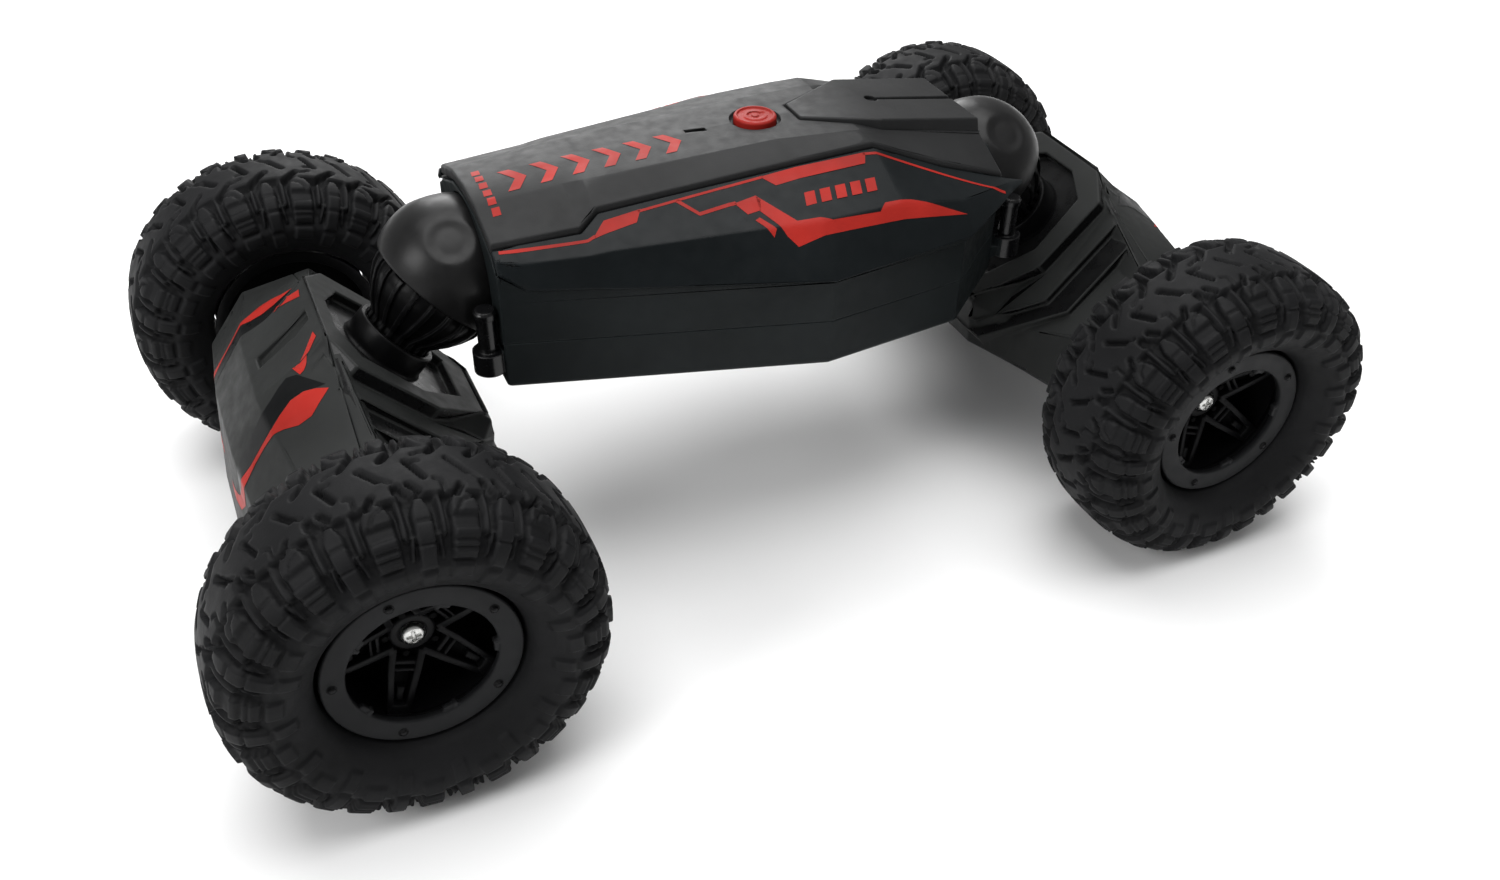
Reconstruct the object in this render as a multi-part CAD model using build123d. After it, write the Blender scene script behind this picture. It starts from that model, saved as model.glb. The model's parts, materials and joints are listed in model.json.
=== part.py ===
from build123d import *
import os
from math import acos, cos, pi, radians, sin, sqrt, tan

# Twisting stunt car, sizes in millimetres.
# Origin: on the ground, at the centre of the footprint. +X is the car's front, +Y its left, +Z up.

# Wheels and tyres
WHEEL_RADIUS = 41.0
TYRE_HALF_WIDTH = 18.4
AXLE_X = 102.0
WHEEL_Y = 68.3
CARCASS_RADIUS = 38.4
LUG_ROOT_RADIUS = 36.0
LUG_PITCHES = 24
CROWN_LUG_LENGTH = 7.0
SHOULDER_LUG_WIDTH = 5.2
SHORT_LUG_WIDTH = 3.8
BEAD_RADIUS = 20.3
TYRE_WALL = 2.4

# Rim, measured from the wheel's middle plane, outward positive
BARREL_RADIUS = 20.2
BARREL_BORE = 18.4
BARREL_INNER_END = -12.0
BARREL_OUTER_END = 9.6
WEB_BACK = -6.0
WEB_FRONT = -4.5
SPOKE_ROOT_TOP = 1.9
SPOKE_TIP_TOP = 6.7
SPOKE_ROOT = 4.6
SPOKE_COUNT = 5
SPOKE_PHASE = 69.0
SPOKE_RAIL_WIDTH = 1.7
SPOKE_ROOT_HALF_WIDTH = 3.4
SPOKE_TIP_HALF_WIDTH = 1.5
HUB_RADIUS = 5.6
HUB_FACE = 1.4
BEADLOCK_OUTER = 20.7
BEADLOCK_INNER = 15.4
BEADLOCK_TOP = 11.4
BEADLOCK_THICKNESS = 1.7
BOLT_CIRCLE = 18.2
BOLT_HEAD_RADIUS = 0.85
BOLT_SHANK_RADIUS = 0.5
BOLT_HEAD_HEIGHT = 0.7
TAB_LENGTH = 3.6
TAB_DEPTH = 0.9

# Wheel drive
AXLE_RADIUS = 2.5
RUNNING_GAP = 0.05
FIT_GAP = 0.02
AXLE_INNER_END = 24.0
AXLE_OUTER_END = 1.0
HUB_SCREW_RADIUS = 1.3
HUB_SCREW_HEAD = 2.6
HUB_SCREW_TOP = 2.9
HUB_SCREW_DEPTH = 8.0
GEAR_MODULE = 0.7
GEAR_TEETH = 30
PINION_TEETH = 12
GEAR_ADDENDUM = 0.8
GEAR_DEDENDUM = 1.05
PRESSURE_ANGLE = 25.0
TOOTH_BACKLASH = 0.06
GEAR_WIDTH = 4.0
GEAR_Y = 29.0
GEAR_HUB_RADIUS = 4.5
PINION_EXTRA_WIDTH = 1.0
MOTOR_RADIUS = 7.0
MOTOR_LENGTH = 20.0
MOTOR_INNER_Y = 3.0
MOTOR_SHAFT_RADIUS = 1.0
MOTOR_BOSS_RADIUS = 2.6
MOTOR_BOSS_LENGTH = 1.5
MOTOR_BORE_DEPTH = 6.0

# Gearbox housing, measured from the axle's centre, +x towards the body
HOUSING_HALF_WIDTH = 42.0
HOUSING_CORE_HALF_WIDTH = 12.0
HOUSING_SHOULDER_HALF_WIDTH = 24.0
HOUSING_CAVITY_RADIUS = 17.0
HOUSING_CAVITY_HALF_WIDTH = 36.0
MOTOR_CAVITY_RADIUS = 7.6
MOTOR_CAVITY_HALF_WIDTH = 26.0
PINION_CAVITY_RADIUS = 5.5
PINION_CAVITY_HALF_WIDTH = 33.0
BEARING_BOSS_RADIUS = 9.0
BEARING_BOSS_END = 57.5
SCREW_RADIUS = 1.1
SCREW_HEAD_RADIUS = 2.1
SCREW_HEAD_HEIGHT = 1.3
SCREW_BOSS_RADIUS = 3.0
SCREW_Y = 39.0
SCREW_Z = 15.5
SCREW_SEAT = -6.0

# Twist joint. Its axis leans 45 degrees from the axle up towards the body.
BALL_X = 70.9
BALL_Z = 81.9
DOME_RADIUS = 17.2
DOME_BORE_RADIUS = 15.7
DOME_CUT = -5.0
DOME_BOSS_RADIUS = 5.6
DOME_DISH_RADIUS = 4.1
DOME_DISH_DEPTH = 0.5
NECK_TOP = -5.8
NECK_RIB_DEPTH = 0.9
NECK_RIBS = 20
NECK_RIB_THICKNESS = 1.1
NECK_SPIGOT_RADIUS = 13.0
NECK_SPIGOT_TOP = -3.2
NECK_WALL = 2.2
TURRET_TOP = -23.6
TURRET_FLOOR = -26.0
COLLAR_OUTER = 10.0
COLLAR_INNER = 8.7
COLLAR_TOP = -19.8
TWIST_SHAFT_RADIUS = 3.0
TWIST_SHAFT_TOP = 6.0
TWIST_SHAFT_FOOT = -23.0
TWIST_GEARBOX_RADIUS = 15.5
TWIST_GEARBOX_HALF_HEIGHT = 2.2
TWIST_MOTOR_RADIUS = 7.5
TWIST_MOTOR_TOP = 13.0

# Body
BODY_FLOOR = 62.0
TUB_TOP = 84.6
SHELL = 2.0
SEAM_HEIGHT = 0.25
SEAM_DEPTH = 0.15
COVER_THICKNESS = 2.6
JOINT_GAP = 0.3
NECK_RELIEF_RADIUS = 19.5
BUTTON_X = 6.0
BUTTON_RADIUS = 5.2
BUTTON_CLEARANCE = 0.08
BUTTON_TOP = 106.6
BUTTON_HEIGHT = 7.0
BUTTON_FLANGE_RADIUS = 6.3
BUTTON_FLANGE_HEIGHT = 1.2
BUTTON_STEM = 4.7
BUTTON_WELL_RADIUS = 6.3
BUTTON_WELL_DEPTH = 1.2
BUTTON_BOSS_RADIUS = 8.2
LENS_X = -9.5
LENS_LENGTH = 5.0
LENS_WIDTH = 1.5
HOOD_SLOPE = 8.7
KEYHOLE_X = 37.5
KEYHOLE_RADIUS = 1.7
KEYHOLE_SLOT_WIDTH = 1.2
KEYHOLE_DEPTH = 1.2
BATTERY_CELL_RADIUS = 7.1
BATTERY_LENGTH = 52.0
DOOR_LENGTH = 60.0
DOOR_WIDTH = 34.0
DOOR_GAP = 0.2
DOOR_TAB = 8.0
DOOR_SCREW_X = 33.0
BOARD_LENGTH = 77.0
BOARD_WIDTH = 30.0
BOARD_THICKNESS = 1.2
BOARD_Z = 87.0
BOARD_X = 0.0
BOARD_SCREW_RADIUS = 0.9
POST_RADIUS = 2.2
POST_CAP_RADIUS = 2.6
POST_CAP_HEIGHT = 2.0
POST_BASE_RADIUS = 3.7
POST_X = 68.8
POST_Y = 21.0
POST_FOOT = 66.5
POST_BASE_TOP = 71.8
POST_TOP = 82.4

os.makedirs("parts", exist_ok=True)

BALL_LOCAL = (AXLE_X - BALL_X, 0, BALL_Z - WHEEL_RADIUS)
CENTRE_DISTANCE = GEAR_MODULE * (GEAR_TEETH + PINION_TEETH) / 2
PINION_OFFSET = CENTRE_DISTANCE / sqrt(2)
TWIST_PLANE = Plane(origin=BALL_LOCAL, x_dir=(1, 0, -1), z_dir=(1, 0, 1))
REAR = Location((-AXLE_X, 0, WHEEL_RADIUS))
FRONT = Location((AXLE_X, 0, WHEEL_RADIUS), (0, 0, 180))


def y_cylinder(radius, y_low, y_high, x=0.0, z=0.0):
    """A round bar along Y between two y values."""
    bar = Cylinder(radius, y_high - y_low)
    return Pos(x, (y_low + y_high) / 2, z) * Rot(90, 0, 0) * bar


def on_twist_axis(shape):
    """Moves a shape built about Z onto the twist joint's axis, z = 0 at the ball's centre."""
    return TWIST_PLANE.location * shape


def prism_xz(points, y_low, y_high):
    """Extrudes an outline in x and z along Y."""
    face = make_face(Polyline(*[(x, y_low, z) for x, z in points], close=True))
    return extrude(face, amount=y_high - y_low, dir=(0, 1, 0))


def skin_xz(points_low, y_low, points_high, y_high):
    """A flat-sided skin between two outlines in x and z, each at its own y."""
    low = make_face(Polyline(*[(x, y_low, z) for x, z in points_low], close=True))
    high = make_face(Polyline(*[(x, y_high, z) for x, z in points_high], close=True))
    return loft([low, high], ruled=True)


def skin_along_x(stations):
    """Flat-sided skins through outlines in y and z, one per x station, joined end to end."""
    faces = [
        make_face(Polyline(*[(x, y, z) for y, z in outline], close=True))
        for x, outline in stations
    ]
    pieces = [loft([a, b], ruled=True) for a, b in zip(faces, faces[1:])]
    return pieces[0].fuse(*pieces[1:])


def lathe(points):
    """Revolves an outline of (radius, height) points about Z."""
    face = make_face(Polyline(*[(r, 0, h) for r, h in points], close=True))
    return revolve(face, Axis.Z)


def wheel_frame(shape):
    """Turns a shape built about Z so that Z points outward along +Y."""
    return Rot(-90, 0, 0) * shape


# ---------------------------------------------------------------- wheels


def tyre_carcass():
    """The balloon tyre without its lugs, hollow and open towards the rim."""
    half_outer = [
        (BEAD_RADIUS, 9.2),
        (BEAD_RADIUS + 0.9, 11.4),
        (23.5, 14.6),
        (26.5, 16.6),
        (30.5, 17.4),
        (34.0, 16.2),
        (36.8, 12.6),
        (38.1, 8.0),
        (CARCASS_RADIUS, 3.0),
    ]
    half_inner = [
        (BEAD_RADIUS, 7.0),
        (24.0, 11.2),
        (28.0, 14.2),
        (32.5, 13.2),
        (35.4, 8.4),
        (CARCASS_RADIUS - TYRE_WALL, 3.0),
    ]
    outer = half_outer + [(r, -h) for r, h in reversed(half_outer)]
    inner = half_inner + [(r, -h) for r, h in reversed(half_inner)]
    return lathe(outer + list(reversed(inner)))


def crown_lug():
    """One block of the crown, its top part of the tyre's round outline."""
    ring = Cylinder(WHEEL_RADIUS, 8.0) - Cylinder(LUG_ROOT_RADIUS, 8.0)
    cutter = Pos(WHEEL_RADIUS, 0, 0) * Box(2 * TYRE_WALL + 6, CROWN_LUG_LENGTH, 8.0)
    return Pos(0, 0, 5.0) * (ring & cutter)


def shoulder_lug(width, foot_radius, foot_height):
    """One rib running from the crown's edge down over the shoulder."""
    outline = [
        (36.5, 8.5),
        (40.3, 9.6),
        (39.4, 13.6),
        (36.2, 17.2),
        (foot_radius + 1.2, TYRE_HALF_WIDTH),
        (foot_radius, foot_height),
        (33.0, 13.6),
    ]
    face = make_face(Polyline(*[(r, 0, h) for r, h in outline], close=True))
    return extrude(face, amount=width / 2, dir=(0, 1, 0), both=True)


def tyre():
    """Balloon tyre with two staggered rows of crown lugs and a shoulder rib at each pitch."""
    step = 360 / LUG_PITCHES
    crown = crown_lug()
    long_lug = shoulder_lug(SHOULDER_LUG_WIDTH, 29.2, 17.0)
    short_lug = shoulder_lug(SHORT_LUG_WIDTH, 31.6, 16.8)
    lugs = []
    for side in (0, 1):
        flip = Rot(180 * side, 0, 0)
        for pitch in range(LUG_PITCHES):
            angle = step * (pitch + 0.5 * side)
            rib = long_lug if pitch % 2 == 0 else short_lug
            lugs.append(Rot(0, 0, angle) * flip * crown)
            lugs.append(Rot(0, 0, angle + step / 2) * flip * rib)
    return wheel_frame(tyre_carcass().fuse(*lugs))


def spoke():
    """One V-shaped spoke rising outward: two thin rails with a slot between, and a blunt tip."""
    depth = SPOKE_TIP_TOP - WEB_FRONT
    reach = BARREL_BORE + 0.4
    outline = [
        (SPOKE_ROOT, -SPOKE_ROOT_HALF_WIDTH),
        (reach, -SPOKE_TIP_HALF_WIDTH - SPOKE_RAIL_WIDTH / 2),
        (reach, SPOKE_TIP_HALF_WIDTH + SPOKE_RAIL_WIDTH / 2),
        (SPOKE_ROOT, SPOKE_ROOT_HALF_WIDTH),
    ]
    slot = [
        (7.5, -SPOKE_ROOT_HALF_WIDTH + SPOKE_RAIL_WIDTH),
        (reach - 4.0, -SPOKE_TIP_HALF_WIDTH + 0.7),
        (reach - 4.0, SPOKE_TIP_HALF_WIDTH - 0.7),
        (7.5, SPOKE_ROOT_HALF_WIDTH - SPOKE_RAIL_WIDTH),
    ]
    body = extrude(make_face(Polyline(*outline, close=True)), amount=depth)
    recess = extrude(make_face(Polyline(*slot, close=True)), amount=depth)
    over = [
        (SPOKE_ROOT - 1, SPOKE_ROOT_TOP),
        (HUB_RADIUS, SPOKE_ROOT_TOP),
        (reach, SPOKE_TIP_TOP),
        (reach, SPOKE_TIP_TOP + 1),
        (SPOKE_ROOT - 1, SPOKE_TIP_TOP + 1),
    ]
    spoke_body = Pos(0, 0, WEB_FRONT) * (body - Pos(0, 0, 2.0) * recess)
    return spoke_body - prism_xz(over, -HUB_RADIUS, HUB_RADIUS)


def rim():
    """Barrel, closed web and five spokes around a deep-set hub."""
    barrel = lathe(
        [
            (BARREL_BORE, BARREL_INNER_END),
            (BARREL_RADIUS + 1.0, BARREL_INNER_END),
            (BARREL_RADIUS + 1.0, BARREL_INNER_END + 0.5),
            (BARREL_RADIUS, BARREL_INNER_END + 2.2),
            (BARREL_RADIUS, BARREL_OUTER_END),
            (BARREL_BORE - 1.6, BARREL_OUTER_END),
            (BARREL_BORE - 1.6, BARREL_OUTER_END - 1.6),
            (BARREL_BORE, BARREL_OUTER_END - 3.6),
        ]
    )
    web_height = WEB_FRONT - WEB_BACK
    web = Pos(0, 0, WEB_BACK + web_height / 2) * Cylinder(BARREL_BORE + 0.4, web_height)
    hub_height = HUB_FACE - WEB_BACK + 2.5
    hub = Pos(0, 0, HUB_FACE - hub_height / 2) * Cylinder(HUB_RADIUS, hub_height)
    spokes = [Rot(0, 0, angle) * spoke() for angle in spoke_angles()]
    body = barrel.fuse(web, hub, *spokes)
    bore_height = AXLE_OUTER_END + 20.0
    bore = Pos(0, 0, AXLE_OUTER_END - bore_height / 2) * Cylinder(
        AXLE_RADIUS + FIT_GAP, bore_height
    )
    screw_hole = Cylinder(HUB_SCREW_RADIUS + FIT_GAP, 30.0)
    pilot = Pos(0, 0, HUB_FACE - 0.6) * Cylinder(0.6, 1.2)
    pilots = [Rot(0, 0, angle) * Pos(4.1, 0, 0) * pilot for angle in spoke_angles()]
    bolt_depth = 5.0
    bolt_hole = Pos(0, 0, BARREL_OUTER_END - bolt_depth / 2) * Cylinder(
        BOLT_SHANK_RADIUS + FIT_GAP, bolt_depth
    )
    bolt_holes = [at * bolt_hole for at in bolt_places()]
    return wheel_frame(body.cut(bore, screw_hole, *pilots, *bolt_holes))


def spoke_angles():
    """The spokes' directions about the wheel's axis."""
    return [SPOKE_PHASE + 360 / SPOKE_COUNT * i for i in range(SPOKE_COUNT)]


def bolt_places():
    """The five bolts' places on their circle, one over each spoke."""
    return [Rot(0, 0, angle) * Pos(BOLT_CIRCLE, 0, 0) for angle in spoke_angles()]


def beadlock_ring():
    """Flat ring over the tyre's bead, with a small tab on its inner edge between bolts."""
    low = BEADLOCK_TOP - BEADLOCK_THICKNESS
    edge = 0.4
    ring = lathe(
        [
            (BEADLOCK_INNER, low),
            (BEAD_RADIUS - 0.2, low),
            (BEADLOCK_OUTER, BEADLOCK_TOP - edge),
            (BEADLOCK_OUTER - edge, BEADLOCK_TOP),
            (BEADLOCK_INNER + edge, BEADLOCK_TOP),
            (BEADLOCK_INNER, BEADLOCK_TOP - edge),
        ]
    )
    tab = Pos(BEADLOCK_INNER, 0, low + 0.5) * Box(2 * TAB_DEPTH, TAB_LENGTH, 1.0)
    between = 180 / SPOKE_COUNT
    tabs = [Rot(0, 0, angle + between) * tab for angle in spoke_angles()]
    hole = Cylinder(BOLT_SHANK_RADIUS + FIT_GAP, 60.0)
    holes = [at * hole for at in bolt_places()]
    return wheel_frame(ring.fuse(*tabs).cut(*holes))


def beadlock_bolts():
    """Five round-headed bolts that clamp the beadlock ring."""
    head = Pos(0, 0, BEADLOCK_TOP + BOLT_HEAD_HEIGHT / 2) * Cylinder(
        BOLT_HEAD_RADIUS, BOLT_HEAD_HEIGHT
    )
    shank_length = 5.5
    shank = Pos(0, 0, BEADLOCK_TOP - shank_length / 2) * Cylinder(
        BOLT_SHANK_RADIUS, shank_length
    )
    bolt = head + shank
    return Compound([wheel_frame(at * bolt) for at in bolt_places()])


def hub_screw():
    """Cross-headed screw that holds the wheel on its axle."""
    head_height = HUB_SCREW_TOP - HUB_FACE
    head = Pos(0, 0, HUB_FACE + head_height / 2) * Cylinder(HUB_SCREW_HEAD, head_height)
    head = chamfer(head.edges().group_by(Axis.Z)[-1], 0.5)
    shank = Pos(0, 0, HUB_FACE - HUB_SCREW_DEPTH / 2) * Cylinder(
        HUB_SCREW_RADIUS, HUB_SCREW_DEPTH
    )
    slot = Pos(0, 0, HUB_SCREW_TOP - 0.4) * Box(3.2, 0.7, 0.8)
    screw = head + shank - slot - Rot(0, 0, 90) * slot
    return wheel_frame(screw)


def gear_outline(teeth, phase):
    """Points of an involute gear's outline with a tooth centred on the phase angle."""
    pitch_radius = GEAR_MODULE * teeth / 2
    base_radius = pitch_radius * cos(radians(PRESSURE_ANGLE))
    tip_radius = pitch_radius + GEAR_ADDENDUM * GEAR_MODULE
    root_radius = pitch_radius - GEAR_DEDENDUM * GEAR_MODULE
    flank_start = max(base_radius, root_radius)
    half_tooth = pi / (2 * teeth) - TOOTH_BACKLASH / pitch_radius
    roll_at_pitch = tan(radians(PRESSURE_ANGLE)) - radians(PRESSURE_ANGLE)
    steps = 5
    flank = []
    for i in range(steps + 1):
        radius = flank_start + (tip_radius - flank_start) * i / steps
        slant = acos(min(1.0, base_radius / radius))
        flank.append((radius, half_tooth + roll_at_pitch - (tan(slant) - slant)))
    points = []
    for tooth in range(teeth):
        centre = radians(phase) + 2 * pi * tooth / teeth
        root_half = flank[0][1]
        profile = [(r, -a) for r, a in flank] + [(r, a) for r, a in reversed(flank)]
        if root_radius < flank_start:
            profile = [(root_radius, -root_half)] + profile + [(root_radius, root_half)]
        points += [(r * cos(centre + a), r * sin(centre + a)) for r, a in profile]
    return points


def gear_blank(teeth, phase, width):
    """A toothed disc about Y, centred on y = 0."""
    face = make_face(Polyline(*gear_outline(teeth, phase), close=True))
    return Pos(0, width / 2, 0) * Rot(90, 0, 0) * extrude(face, amount=width)


def output_axle(side):
    """Large gear moulded in one piece with its axle, tapped for the hub screw."""
    blank = gear_blank(GEAR_TEETH, 45.0, GEAR_WIDTH)
    hub = y_cylinder(GEAR_HUB_RADIUS, -GEAR_WIDTH / 2 - 1.5, GEAR_WIDTH / 2 + 1.5)
    end = WHEEL_Y + AXLE_OUTER_END
    bar = y_cylinder(AXLE_RADIUS, AXLE_INNER_END - GEAR_Y, end - GEAR_Y)
    tapped = y_cylinder(HUB_SCREW_RADIUS + FIT_GAP, end - GEAR_Y - HUB_SCREW_DEPTH, end)
    if side < 0:
        bar = mirror(bar, Plane.XZ)
        tapped = mirror(tapped, Plane.XZ)
    return Pos(0, side * GEAR_Y, 0) * (blank.fuse(hub, bar) - tapped)


def motor_pinion(side):
    """Small gear and the motor shaft it sits on. side is +1 or -1 along Y."""
    width = GEAR_WIDTH + PINION_EXTRA_WIDTH
    half_pitch = 180 / PINION_TEETH
    blank = gear_blank(PINION_TEETH, 225.0 + half_pitch, width)
    motor_face = GEAR_Y - MOTOR_INNER_Y - MOTOR_LENGTH
    shaft_end = -side * (motor_face + MOTOR_BORE_DEPTH - 1.0)
    shaft = y_cylinder(MOTOR_SHAFT_RADIUS, min(0, shaft_end), max(0, shaft_end))
    return blank + shaft


def drive_motor(side):
    """Small electric motor that turns one wheel, its shaft pointing outward."""
    can = y_cylinder(MOTOR_RADIUS, 0, MOTOR_LENGTH)
    boss = y_cylinder(MOTOR_BOSS_RADIUS, MOTOR_LENGTH - 1, MOTOR_LENGTH + MOTOR_BOSS_LENGTH)
    cap = y_cylinder(3.0, -1.2, 1.0)
    bore = y_cylinder(
        MOTOR_SHAFT_RADIUS + RUNNING_GAP,
        MOTOR_LENGTH - MOTOR_BORE_DEPTH,
        MOTOR_LENGTH + MOTOR_BOSS_LENGTH,
    )
    motor = can.fuse(boss, cap) - bore
    turn = 0 if side > 0 else 180
    return Rot(0, 0, turn) * Pos(0, MOTOR_INNER_Y, 0) * motor


# ---------------------------------------------------------------- axle housing

# Outlines of the housing in x and z, from the middle out to its ends.
CORE_PROFILE = [
    (0.8, 37.7),
    (-17.0, 25.0),
    (-25.0, 13.0),
    (-27.5, -12.0),
    (-20.0, -24.0),
    (8.0, -26.0),
    (34.0, -8.0),
    (34.0, 4.5),
    (5.0, 33.5),
]
SHOULDER_PROFILE = [
    (2.1, 32.2),
    (-15.4, 23.4),
    (-24.2, 11.0),
    (-25.7, -10.4),
    (-17.6, -22.8),
    (8.0, -24.8),
    (29.2, -8.4),
    (26.0, 1.6),
    (4.8, 22.8),
]
END_PROFILE = [
    (4.0, 24.0),
    (-13.0, 21.0),
    (-23.0, 8.0),
    (-23.0, -8.0),
    (-14.0, -21.0),
    (8.0, -23.0),
    (22.0, -9.0),
    (21.0, 8.0),
    (7.0, 20.6),
]


def turret_layer(outline, top, foot):
    """A flat-topped layer of the turret, across the twist axis between two heights."""
    right = [(b, y) for y, b in outline]
    left = [(b, -y) for y, b in reversed(outline)]
    face = make_face(Polyline(*(right + left), close=True))
    return on_twist_axis(Pos(0, 0, foot) * extrude(face, amount=top - foot))


def housing_block():
    """The housing's outside: a faceted barrel between the wheels and a stepped, dished turret."""
    core_y = HOUSING_CORE_HALF_WIDTH
    shoulder_y = HOUSING_SHOULDER_HALF_WIDTH
    end_y = HOUSING_HALF_WIDTH
    core = prism_xz(CORE_PROFILE, -core_y, core_y)
    skins = [
        skin_xz(CORE_PROFILE, core_y, SHOULDER_PROFILE, shoulder_y),
        skin_xz(SHOULDER_PROFILE, shoulder_y, END_PROFILE, end_y),
        skin_xz(SHOULDER_PROFILE, -shoulder_y, CORE_PROFILE, -core_y),
        skin_xz(END_PROFILE, -end_y, SHOULDER_PROFILE, -shoulder_y),
    ]
    rim_layer = turret_layer([(13.0, -20.5), (21.2, -14), (21, 9), (10, 27)], TURRET_TOP, -36)
    mid_layer = turret_layer([(16, -19), (27.6, -12), (27.6, 14.5), (14, 31)], -27.2, -38)
    low_layer = turret_layer([(24, -15.5), (34.5, -9), (34.5, 13), (17, 34)], -29.2, -42)
    well = turret_layer([(6, -16), (14.6, -11), (15.4, 6), (8, 19)], TURRET_TOP + 1, TURRET_FLOOR)
    bosses = [
        y_cylinder(BEARING_BOSS_RADIUS, end_y - 3, BEARING_BOSS_END),
        y_cylinder(BEARING_BOSS_RADIUS, -BEARING_BOSS_END, -end_y + 3),
    ]
    return core.fuse(*skins, rim_layer, mid_layer, low_layer, *bosses) - well


def housing_cavity():
    """Everything hollow in the housing: gear space, motor space, bearings and the wire way."""
    gear_space = y_cylinder(
        HOUSING_CAVITY_RADIUS, -HOUSING_CAVITY_HALF_WIDTH, HOUSING_CAVITY_HALF_WIDTH
    )
    motor_space = y_cylinder(
        MOTOR_CAVITY_RADIUS,
        -MOTOR_CAVITY_HALF_WIDTH,
        MOTOR_CAVITY_HALF_WIDTH,
        PINION_OFFSET,
        PINION_OFFSET,
    )
    bearings = y_cylinder(AXLE_RADIUS + RUNNING_GAP, -70, 70)
    pinion_space = y_cylinder(
        PINION_CAVITY_RADIUS,
        -PINION_CAVITY_HALF_WIDTH,
        PINION_CAVITY_HALF_WIDTH,
        PINION_OFFSET,
        PINION_OFFSET,
    )
    wire_way = on_twist_axis(Pos(0, 0, TURRET_FLOOR - 2) * Cylinder(5.6, 20.0))
    return gear_space.fuse(motor_space, pinion_space, bearings, wire_way)


def nose_slot():
    """Oblong recess in the nose's sloping upper face, on the centre line."""
    slope = 40.0
    cutter = Box(16.0, 4.4, 3.0)
    return Pos(-8.5, 0, 31.5) * Rot(0, -slope, 0) * cutter


def screw_places():
    """Where the four screws join the nose cover to the gearbox shell."""
    return [(y, z) for y in (-SCREW_Y, SCREW_Y) for z in (-SCREW_Z, SCREW_Z)]


def along_x(radius, x_low, x_high, y, z):
    """A round bar along X between two x values."""
    bar = Cylinder(radius, x_high - x_low)
    return Pos((x_low + x_high) / 2, y, z) * Rot(0, 90, 0) * bar


def housing_split():
    """The gearbox shell and the nose cover, parted on the plane through the axle."""
    whole = housing_block() - housing_cavity() - nose_slot()
    big = 200.0
    pillars = [along_x(SCREW_BOSS_RADIUS, SCREW_SEAT, 9.0, y, z) for y, z in screw_places()]
    blocks = whole.fuse(*pillars)
    wells = [along_x(SCREW_HEAD_RADIUS + FIT_GAP, -40, SCREW_SEAT, y, z) for y, z in screw_places()]
    holes = [along_x(SCREW_RADIUS + FIT_GAP, -40, 8.0, y, z) for y, z in screw_places()]
    blocks = blocks.cut(*wells, *holes)
    inner_half = blocks & (Pos(big / 2, 0, 0) * Box(big, big, big))
    outer_half = blocks & (Pos(-big / 2, 0, 0) * Box(big, big, big))
    return inner_half, outer_half


# Outline of the neck's ribs from the shoulder down to the foot: radius, height on the twist axis.
NECK_OUTLINE = [
    (14.8, NECK_TOP),
    (14.9, -7.4),
    (14.5, -9.2),
    (13.2, -12.0),
    (11.3, -15.0),
    (9.6, -17.0),
    (8.5, -18.4),
    (8.5, TURRET_FLOOR),
]


def neck():
    """Ribbed bowl that carries the twist joint above the turret."""
    base_outline = [(r - NECK_RIB_DEPTH, h) for r, h in NECK_OUTLINE]
    inner_radius = TWIST_SHAFT_RADIUS + FIT_GAP
    cavity_top = NECK_TOP - 9.0
    foot_radius = base_outline[-1][0]
    wall_foot = foot_radius - NECK_WALL
    base = lathe(
        [(inner_radius, NECK_SPIGOT_TOP), (NECK_SPIGOT_RADIUS, NECK_SPIGOT_TOP)]
        + [(NECK_SPIGOT_RADIUS, NECK_TOP)]
        + base_outline
        + [(wall_foot, TURRET_FLOOR), (wall_foot, cavity_top), (inner_radius, cavity_top)]
    )
    rib_foot = foot_radius - 1.0
    rib_zone = lathe([(rib_foot, NECK_TOP)] + NECK_OUTLINE + [(rib_foot, TURRET_FLOOR)])
    blades = [
        Rot(0, 0, 360 / NECK_RIBS * i) * Pos(0, 0, -15) * Box(60, NECK_RIB_THICKNESS, 30)
        for i in range(NECK_RIBS // 2)
    ]
    ribs = rib_zone & blades[0].fuse(*blades[1:])
    return on_twist_axis(base + ribs)


def collar():
    """Ring on the turret that the ribbed neck stands in."""
    edge = 0.4
    ring = lathe(
        [
            (COLLAR_INNER, TURRET_FLOOR),
            (COLLAR_OUTER + 0.6, TURRET_FLOOR),
            (COLLAR_OUTER, TURRET_FLOOR + 1.2),
            (COLLAR_OUTER, COLLAR_TOP - edge),
            (COLLAR_OUTER - edge, COLLAR_TOP),
            (COLLAR_INNER, COLLAR_TOP),
        ]
    )
    return on_twist_axis(ring)


def twist_shaft():
    """Shaft fixed in the neck and turned by the motor in the dome."""
    length = TWIST_SHAFT_TOP - TWIST_SHAFT_FOOT
    bar = Pos(0, 0, TWIST_SHAFT_FOOT + length / 2) * Cylinder(TWIST_SHAFT_RADIUS, length)
    nut = Pos(0, 0, NECK_TOP - 11.0) * extrude(RegularPolygon(4.8, 6), amount=1.9)
    return on_twist_axis(bar + nut)


def housing_screws():
    """The nose cover's four screws, heads sunk in their wells."""
    screws = []
    for y, z in screw_places():
        head = along_x(SCREW_HEAD_RADIUS, SCREW_SEAT - SCREW_HEAD_HEIGHT, SCREW_SEAT, y, z)
        shank = along_x(SCREW_RADIUS, SCREW_SEAT, 7.5, y, z)
        socket = Pos(SCREW_SEAT - SCREW_HEAD_HEIGHT, y, z) * Box(1.0, 2.6, 0.6)
        screws.append(head + shank - socket)
    return Compound(screws)


# ---------------------------------------------------------------- body

# Half-width of the body at its lower edge, from the back to the front.
PLAN = [(-66.0, 24.0), (6.0, 44.0), (43.0, 40.0), (64.0, 22.0)]


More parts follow.
